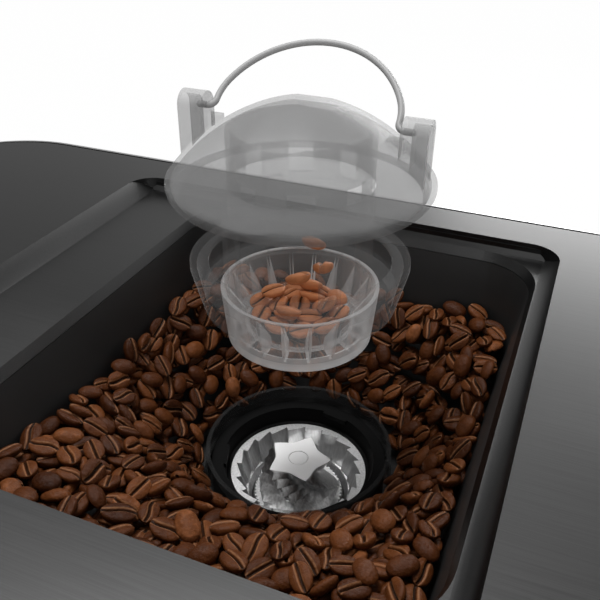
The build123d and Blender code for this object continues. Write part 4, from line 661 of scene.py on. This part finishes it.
# %% The level that the pile should have
bed_mesh = parts["bean_charge"].data
bed_corners = [v.co for v in bed_mesh.vertices]
bed_tree = BVHTree.FromPolygons(bed_corners, [tuple(p.vertices) for p in bed_mesh.polygons])
bed_low, bed_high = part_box("bean_charge")
cell = 1.0 * MM
columns = int((bed_high.x - bed_low.x) / cell) + 1
rows = int((bed_high.y - bed_low.y) / cell) + 1
level = np.full((columns, rows), np.nan)
down = Vector((0, 0, -1))
above_bed = bed_high.z + 0.05
lowest_bed = burr_axis.z + 6 * MM
for i, j in product(range(columns), range(rows)):
    middle_x = bed_low.x + (i + 0.5) * cell
    middle_y = bed_low.y + (j + 0.5) * cell
    hit = bed_tree.ray_cast(Vector((middle_x, middle_y, above_bed)), down)[0]
    if hit is not None and hit.z > lowest_bed:
        level[i, j] = hit.z
inside = ~np.isnan(level)
lowest, highest = round(float(np.nanmin(level)), 4), round(float(np.nanmax(level)), 4)
print("hopper cells:", int(inside.sum()), "level from", lowest, "to", highest)

cell_i, cell_j = np.meshgrid(np.arange(columns), np.arange(rows), indexing="ij")
away_x = bed_low.x + (cell_i + 0.5) * cell - burr_axis.x
away_y = bed_low.y + (cell_j + 0.5) * cell - burr_axis.y
reach = np.hypot(away_x, away_y)
eye_x, eye_y = 0.377, -0.926
ahead = eye_x * away_x + eye_y * away_y
fan_gain, fan_offset = 1.6, 0.2
towards_front = np.clip(ahead / np.maximum(reach, 1 * MM) * fan_gain + fan_offset, 0, 1)
dip_reach, dip_width, dip_depth = 60, 12, 3.0
dip = towards_front * np.clip((dip_reach * MM - reach) / (dip_width * MM), 0, 1)
level -= dip * dip_depth * MM
heap_reach, further_in_front = 50, 17
heap_start = heap_reach + further_in_front * towards_front
heap_width, heap_height = 18, 5.0
level += np.clip((reach - heap_start * MM) / (heap_width * MM), 0, 1) * heap_height * MM
tub_floor = burr_axis.z + 3.3 * MM
pile_depth = 10.5 * MM
out_of_reach = 1.0
lowest_fill = np.maximum(np.nan_to_num(level) - pile_depth, tub_floor)
filled = np.where(inside, lowest_fill, out_of_reach)
slope_x, slope_y = np.gradient(np.where(inside, np.nan_to_num(level), 0.0), cell)
cells = np.argwhere(inside)
print("depth of loose beans:", round(float((level - filled)[inside].max()), 4))

# %% [markdown]
# The pile has two layers. The lower one is laid on a loose grid and only shows in the gaps, so
# its beans may run into each other.

# %% The lower layer
chance = np.random.default_rng(11)
pile = []


def ground_under(cloud, x0, y0):
    """The map cells under a bean that stands at a place, or None where it would stick out."""
    i = ((cloud[:, 0] + x0 - bed_low.x) / cell).astype(int)
    j = ((cloud[:, 1] + y0 - bed_low.y) / cell).astype(int)
    on_map = min(i.min(), j.min()) >= 0 and i.max() < columns and j.max() < rows
    return (i, j) if on_map and inside[i, j].all() else None


def turned(axis, angle):
    """The matrix of a turn about one axis."""
    return Matrix.Rotation(angle, 3, axis)


grid_step = 6
jitter = 2.5
whole_turn = 6.28
mean_roll, roll_spread = 2.6, 0.7
below_level = 4.6 * MM
above_floor = 1.0 * MM
lower_roast = (3.0, 3.6)
for i, j in product(range(2, columns, grid_step), range(2, rows, grid_step)):
    x0 = bed_low.x + (i + chance.uniform(-jitter, jitter)) * cell
    y0 = bed_low.y + (j + chance.uniform(-jitter, jitter)) * cell
    kind = int(chance.integers(0, len(bean_kinds)))
    yaw = chance.uniform(0, whole_turn)
    roll = chance.normal(mean_roll, roll_spread)
    turn = turned("Z", yaw) @ turned("X", roll)
    cloud = bean_kinds[kind][0] @ np.array(turn).T
    under = ground_under(cloud, x0, y0)
    if under:
        rest = max(float(level[under].min()) - below_level, tub_floor + above_floor)
        np.maximum.at(filled, under, cloud[:, 2] + rest)
        pile.append((kind, turn, (x0, y0, rest), float(chance.beta(*lower_roast))))
print("beans in the lower layer:", len(pile))

# %% [markdown]
# Each bean of the upper layer goes where the pile is lowest below its level, out of a handful of
# spots. There it sinks until some point of it touches what lies below, in the best of a few
# turns, and raises the map with its own back. Most lie with the crease up, as the eye expects.
# A bean that would stand too proud is given up, and the pile is full when hundreds in a row are.
# On a slope it leans with the slope and may stand prouder; a step as steep as a wall is no slope.

# %% The upper layer, bean by bean
misses = 0
most_misses = 700
wanted = 2800
spots_tried = 18
turns_tried = 6
crease_up_share = 0.84
steepest = 1.5
lean_share = 0.8
roll_spread, pitch_spread = 0.40, 0.24
belly_top = 0.8 * MM
sink = 1.2 * MM
proud_flat, proud_sloped = 0.4, 1.8
upper_roast = (3.0, 3.2)
while len(pile) < wanted and misses < most_misses:
    tries = cells[chance.integers(0, len(cells), spots_tried)]
    lack = level[tries[:, 0], tries[:, 1]] - filled[tries[:, 0], tries[:, 1]]
    i, j = tries[int(np.argmax(lack))]
    kind = int(chance.integers(0, len(bean_kinds)))
    slope = Vector((float(slope_x[i, j]), float(slope_y[i, j])))
    if slope.length > steepest:
        slope = Vector((0.0, 0.0))
    lean_to = Vector((-lean_share * slope.x, -lean_share * slope.y, 1.0))
    lean = Vector((0, 0, 1)).rotation_difference(lean_to).to_matrix()
    side_up = math.pi if chance.random() < crease_up_share else 0.0
    x0 = bed_low.x + (i + chance.random()) * cell
    y0 = bed_low.y + (j + chance.random()) * cell
    best = None
    for _ in range(turns_tried):
        roll = side_up + chance.normal(0, roll_spread)
        pitch = chance.normal(0, pitch_spread)
        yaw = chance.uniform(0, 2 * math.pi)
        turn = lean @ turned("Z", yaw) @ turned("Y", pitch) @ turned("X", roll)
        cloud = bean_kinds[kind][0] @ np.array(turn).T
        under = ground_under(cloud, x0, y0)
        if not under:
            continue
        belly = np.where(cloud[:, 2] < belly_top, cloud[:, 2], np.inf)
        rest = float(np.max(filled[under] - belly)) - sink
        if best is None or rest < best[0]:
            best = (rest, turn, cloud, under)
    proud = (proud_flat + proud_sloped * slope.length) * MM
    if best is None or best[0] > level[i, j] + proud:
        misses += 1
        continue
    rest, turn, cloud, under = best
    np.maximum.at(filled, under, cloud[:, 2] + rest)
    pile.append((kind, turn, (x0, y0, rest), float(chance.beta(*upper_roast))))
    misses = 0
bean_pile = bean_mesh("bean_pile", pile)
bean_pile.data.materials.append(bean_skin)
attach(bean_pile, "chassis")
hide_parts("bean_charge")
print("beans in the hopper:", len(pile))

# %% [markdown]
# ## Beans on their way down
#
# A few beans tumble through the lifted cap, and a layer of them fills the narrow waist of the
# feed ring. They move with the cap, because they lie in it. Their roast number is set above 1,
# which paints them paler than the rest: painted light, for the light that the clear wall takes
# away.

# %% Beans in the feed ring
# Roast numbers above 1 paint these beans paler: painted light for what the clear wall takes away.
painted_light_roast_low, painted_light_roast_high = 1.3, 1.75
falling = []
spots = [(0.0418, 0.059, 0.4231), (0.0452, 0.059, 0.4149), (0.0362, 0.059, 0.4087)]
for n, spot in enumerate(spots):
    turn = turned("Z", 0.6 + 1.1 * n) @ turned("Y", 0.5) @ turned("X", 2.5 + 0.4 * n)
    falling.append((n + 2, turn, spot, painted_light_roast_low))
rings_of_beans = ((1, 0.0, 77.6), (6, 7.6, 77.2), (10, 14.0, 76.4), (4, 10.0, 80.4))
for count, radius, height in rings_of_beans:
    for n in range(count):
        angle = 2 * math.pi * (n + 0.3 * radius) / count
        spot = (
            burr_axis.x + radius * MM * math.cos(angle),
            burr_axis.y + radius * MM * math.sin(angle),
            burr_axis.z + (height + chance.uniform(0.0, 1.2)) * MM,
        )
        roll = chance.normal(0, 0.4) + (math.pi if chance.random() < 0.8 else 0.0)
        turn = turned("Z", angle + chance.uniform(0.9, 2.0)) @ turned("X", roll)
        kind = int(chance.integers(0, len(bean_kinds)))
        falling.append((kind, turn, spot, chance.uniform(painted_light_roast_low, painted_light_roast_high)))
falling_beans = bean_mesh("falling_beans", falling)
falling_beans.data.materials.append(bean_skin)
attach(falling_beans, "carrier")
print("beans in the cap:", len(falling))

# %% [markdown]
# ## Printed marks
#
# The front carries what a hand and an eye need: a pressure scale, a grind scale and a picture on
# each button. On the machine they are screen-printed ink, a tenth of a millimetre thick, so each
# is built as a thin raised ribbon. A ribbon is two rows of points with faces between them, which
# draws arcs, ticks and cup outlines alike. An image would do it too, and would blur up close.

# %% Ribbons of ink
ink_proud, ink_sunk = 0.08, 0.02


def ink_mesh(name, ribbons, face_y, finish_used):
    """Ribbons of ink on a plane that faces the front. Each is two rows of (x, z) points, in mm."""
    points = []
    faces = []
    for near, far in ribbons:
        start = len(points)
        closed = math.dist(near[0], near[-1]) < 1e-6
        count = len(near) - 1 if closed else len(near)
        for (nx, nz), (fx, fz) in list(zip(near, far))[:count]:
            for y in (face_y - ink_proud, face_y + ink_sunk):
                points += [(nx * MM, y * MM, nz * MM), (fx * MM, y * MM, fz * MM)]
        for n in range(count if closed else count - 1):
            a = start + 4 * n
            b = start + 4 * ((n + 1) % count)
            faces += [(a, b, b + 1, a + 1), (a, a + 2, b + 2, b)]
            faces += [(a + 1, b + 1, b + 3, a + 3), (a + 2, a + 3, b + 3, b + 2)]
        if not closed:
            last = start + 4 * (count - 1)
            faces.append((start, start + 1, start + 3, start + 2))
            faces.append((last, last + 2, last + 3, last + 1))
    mesh = bpy.data.meshes.new(name)
    mesh.from_pydata(points, [], faces)
    mesh.validate()
    mesh.materials.append(finish_used)
    piece = bpy.data.objects.new(name, mesh)
    bpy.context.scene.collection.objects.link(piece)
    return piece


def arc(x, z, r_in, r_out, start, end):
    """A curved ribbon, its angles in degrees clockwise from the top."""
    turns = np.radians(np.linspace(start, end, max(2, int(abs(end - start) / 6) + 1)))
    near = [(x + r_in * math.sin(t), z + r_in * math.cos(t)) for t in turns]
    far = [(x + r_out * math.sin(t), z + r_out * math.cos(t)) for t in turns]
    return near, far


def tick(x, z, r_in, r_out, angle, width):
    """A straight ribbon that points at the middle of a dial."""
    t = math.radians(angle)
    side = (0.5 * width * math.cos(t), -0.5 * width * math.sin(t))
    ends = [(x + r * math.sin(t), z + r * math.cos(t)) for r in (r_in, r_out)]
    near = [(a - side[0], b - side[1]) for a, b in ends]
    far = [(a + side[0], b + side[1]) for a, b in ends]
    return near, far


front_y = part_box("control_panel")[0].y / MM
gauge_low, gauge_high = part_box("gauge_glass")
gauge_x = (gauge_low.x + gauge_high.x) / 2 / MM
gauge_z = (gauge_low.z + gauge_high.z) / 2 / MM
print("front plane y:", round(front_y, 2), "gauge at", round(gauge_x, 1), round(gauge_z, 1))

# %% [markdown]
# The gauge reads from 0 to 16 over three quarters of a turn. Its face is a thin white disc laid in
# the can, and the scale is inked on that disc.

# %% Gauge face, scale and numerals
face_y = -91.4
scale_start, scale_turn = -135, 270
scale_steps = 32
thick_line, thin_line = 0.7, 0.35
disc = ink_mesh("gauge_face", [arc(gauge_x, gauge_z, 1.6, 22.2, 0, 360)], face_y, dial_white)
scale = [arc(gauge_x, gauge_z, 20.6, 21.0, scale_start, scale_start + scale_turn)]
scale.append(arc(gauge_x, gauge_z, 18.4, 20.2, 0, 60))
for step in range(scale_steps + 1):
    whole = step % 8 == 0
    half = step % 4 == 0
    inner = 16.6 if whole else 18.0 if half else 19.2
    angle = scale_start + step * scale_turn / scale_steps
    scale.append(tick(gauge_x, gauge_z, inner, 20.8, angle, thick_line if whole else thin_line))
gauge_scale = ink_mesh("gauge_scale", scale, face_y - ink_proud, ink_black)


def numeral(text, x, z, size, y):
    """A number of raised ink that stands upright on the front."""
    curve = bpy.data.curves.new("numeral_" + text, "FONT")
    curve.body = text
    curve.size = size * MM
    curve.extrude = 0.05 * MM
    curve.align_x = "CENTER"
    curve.align_y = "CENTER"
    holder = bpy.data.objects.new("numeral_curve", curve)
    bpy.context.scene.collection.objects.link(holder)
    bpy.context.view_layer.update()
    mesh = bpy.data.meshes.new_from_object(holder)
    bpy.data.objects.remove(holder)
    upright_turn = Matrix.Rotation(math.radians(90), 4, "X")
    mesh.transform(Matrix.Translation((x * MM, y * MM, z * MM)) @ upright_turn)
    mesh.materials.clear()
    mesh.materials.append(ink_black)
    piece = bpy.data.objects.new("numeral_" + text, mesh)
    bpy.context.scene.collection.objects.link(piece)
    return piece


printed = [disc, gauge_scale]
numeral_reach, numeral_size = 13.2, 4.2
numeral_y = face_y - 0.13
numeral_count = 5
for n in range(numeral_count):
    angle = math.radians(scale_start + n * scale_turn / (numeral_count - 1))
    x = gauge_x + numeral_reach * math.sin(angle)
    z = gauge_z + numeral_reach * math.cos(angle)
    printed.append(numeral(str(4 * n), x, z, numeral_size, numeral_y))
print("printed pieces on the gauge:", len(printed))

# %% [markdown]
# The size dial has a fan of dots round it that grows from fine to coarse, the steam dial a plain
# arc, and each button a picture: one cup, two cups, and the upright line in a ring for power.

# %% Dial scales and button pictures
size_low, size_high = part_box("grind_size_dial")
size_x = (size_low.x + size_high.x) / 2 / MM
size_z = (size_low.z + size_high.z) / 2 / MM
steam_low, steam_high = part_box("steam_dial")
steam_x = (steam_low.x + steam_high.x) / 2 / MM
steam_z = (steam_low.z + steam_high.z) / 2 / MM
dots = []
dot_count = 11
dot_reach = 22.5
fan_start, fan_step = -120, 24
finest_dot, dot_growth = 0.55, 0.075
for n in range(dot_count):
    angle = math.radians(fan_start + fan_step * n)
    dot_x = size_x + dot_reach * math.sin(angle)
    dot_z = size_z + dot_reach * math.cos(angle)
    dots.append(arc(dot_x, dot_z, 0.05, finest_dot + dot_growth * n, 0, 360))
dots.append(arc(steam_x, steam_z, 21.6, 22.2, -60, 90))
dots.append(tick(steam_x, steam_z, 20.4, 23.4, -60, thick_line))
dots.append(arc(steam_x, steam_z, 20.8, 23.0, 78, 90))
printed.append(ink_mesh("dial_scales", dots, front_y, ink_black))


def cup(x, z, size):
    """A cup seen from the side: bowl, handle and saucer."""
    turns = np.radians(np.linspace(90, 270, 17))
    bowl_low = [(x + size * math.sin(t), z + size * 1.15 * math.cos(t)) for t in turns]
    bowl_high = [(px, z + 0.08 * size) for px, _ in bowl_low]
    ear = arc(x + size, z - 0.28 * size, 0.30 * size, 0.48 * size, 0, 180)
    dish = ([(x - size, z - 1.5 * size), (x + size, z - 1.5 * size)],
            [(x - size, z - 1.32 * size), (x + size, z - 1.32 * size)])
    return [(bowl_high, bowl_low), ear, dish]


def one_cup(x, z):
    """The picture of a single cup."""
    return cup(x - 0.5, z + 1.6, 2.6)


def two_cups(x, z):
    """Two smaller cups side by side."""
    return cup(x - 3.1, z + 1.4, 2.0) + cup(x + 2.4, z + 1.4, 2.0)


def power_sign(x, z):
    """An upright line in an open ring."""
    return [arc(x, z, 2.7, 3.4, 35, 325), tick(x, z, 1.0, 4.2, 0, 0.8)]


for node, body, drawing in (
    ("single_cup_button", "single_button", one_cup),
    ("double_cup_button", "double_button", two_cups),
    ("power_button", "power_switch", power_sign),
):
    low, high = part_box(node)
    middle_x, middle_z = (low.x + high.x) / 2 / MM, (low.z + high.z) / 2 / MM
    ribbons = drawing(middle_x, middle_z)
    picture = ink_mesh(node + "_picture", ribbons, low.y / MM, ink_black)
    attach(picture, body)
for piece in printed:
    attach(piece, "chassis")
print("printed pieces in all:", len(printed) + 3)
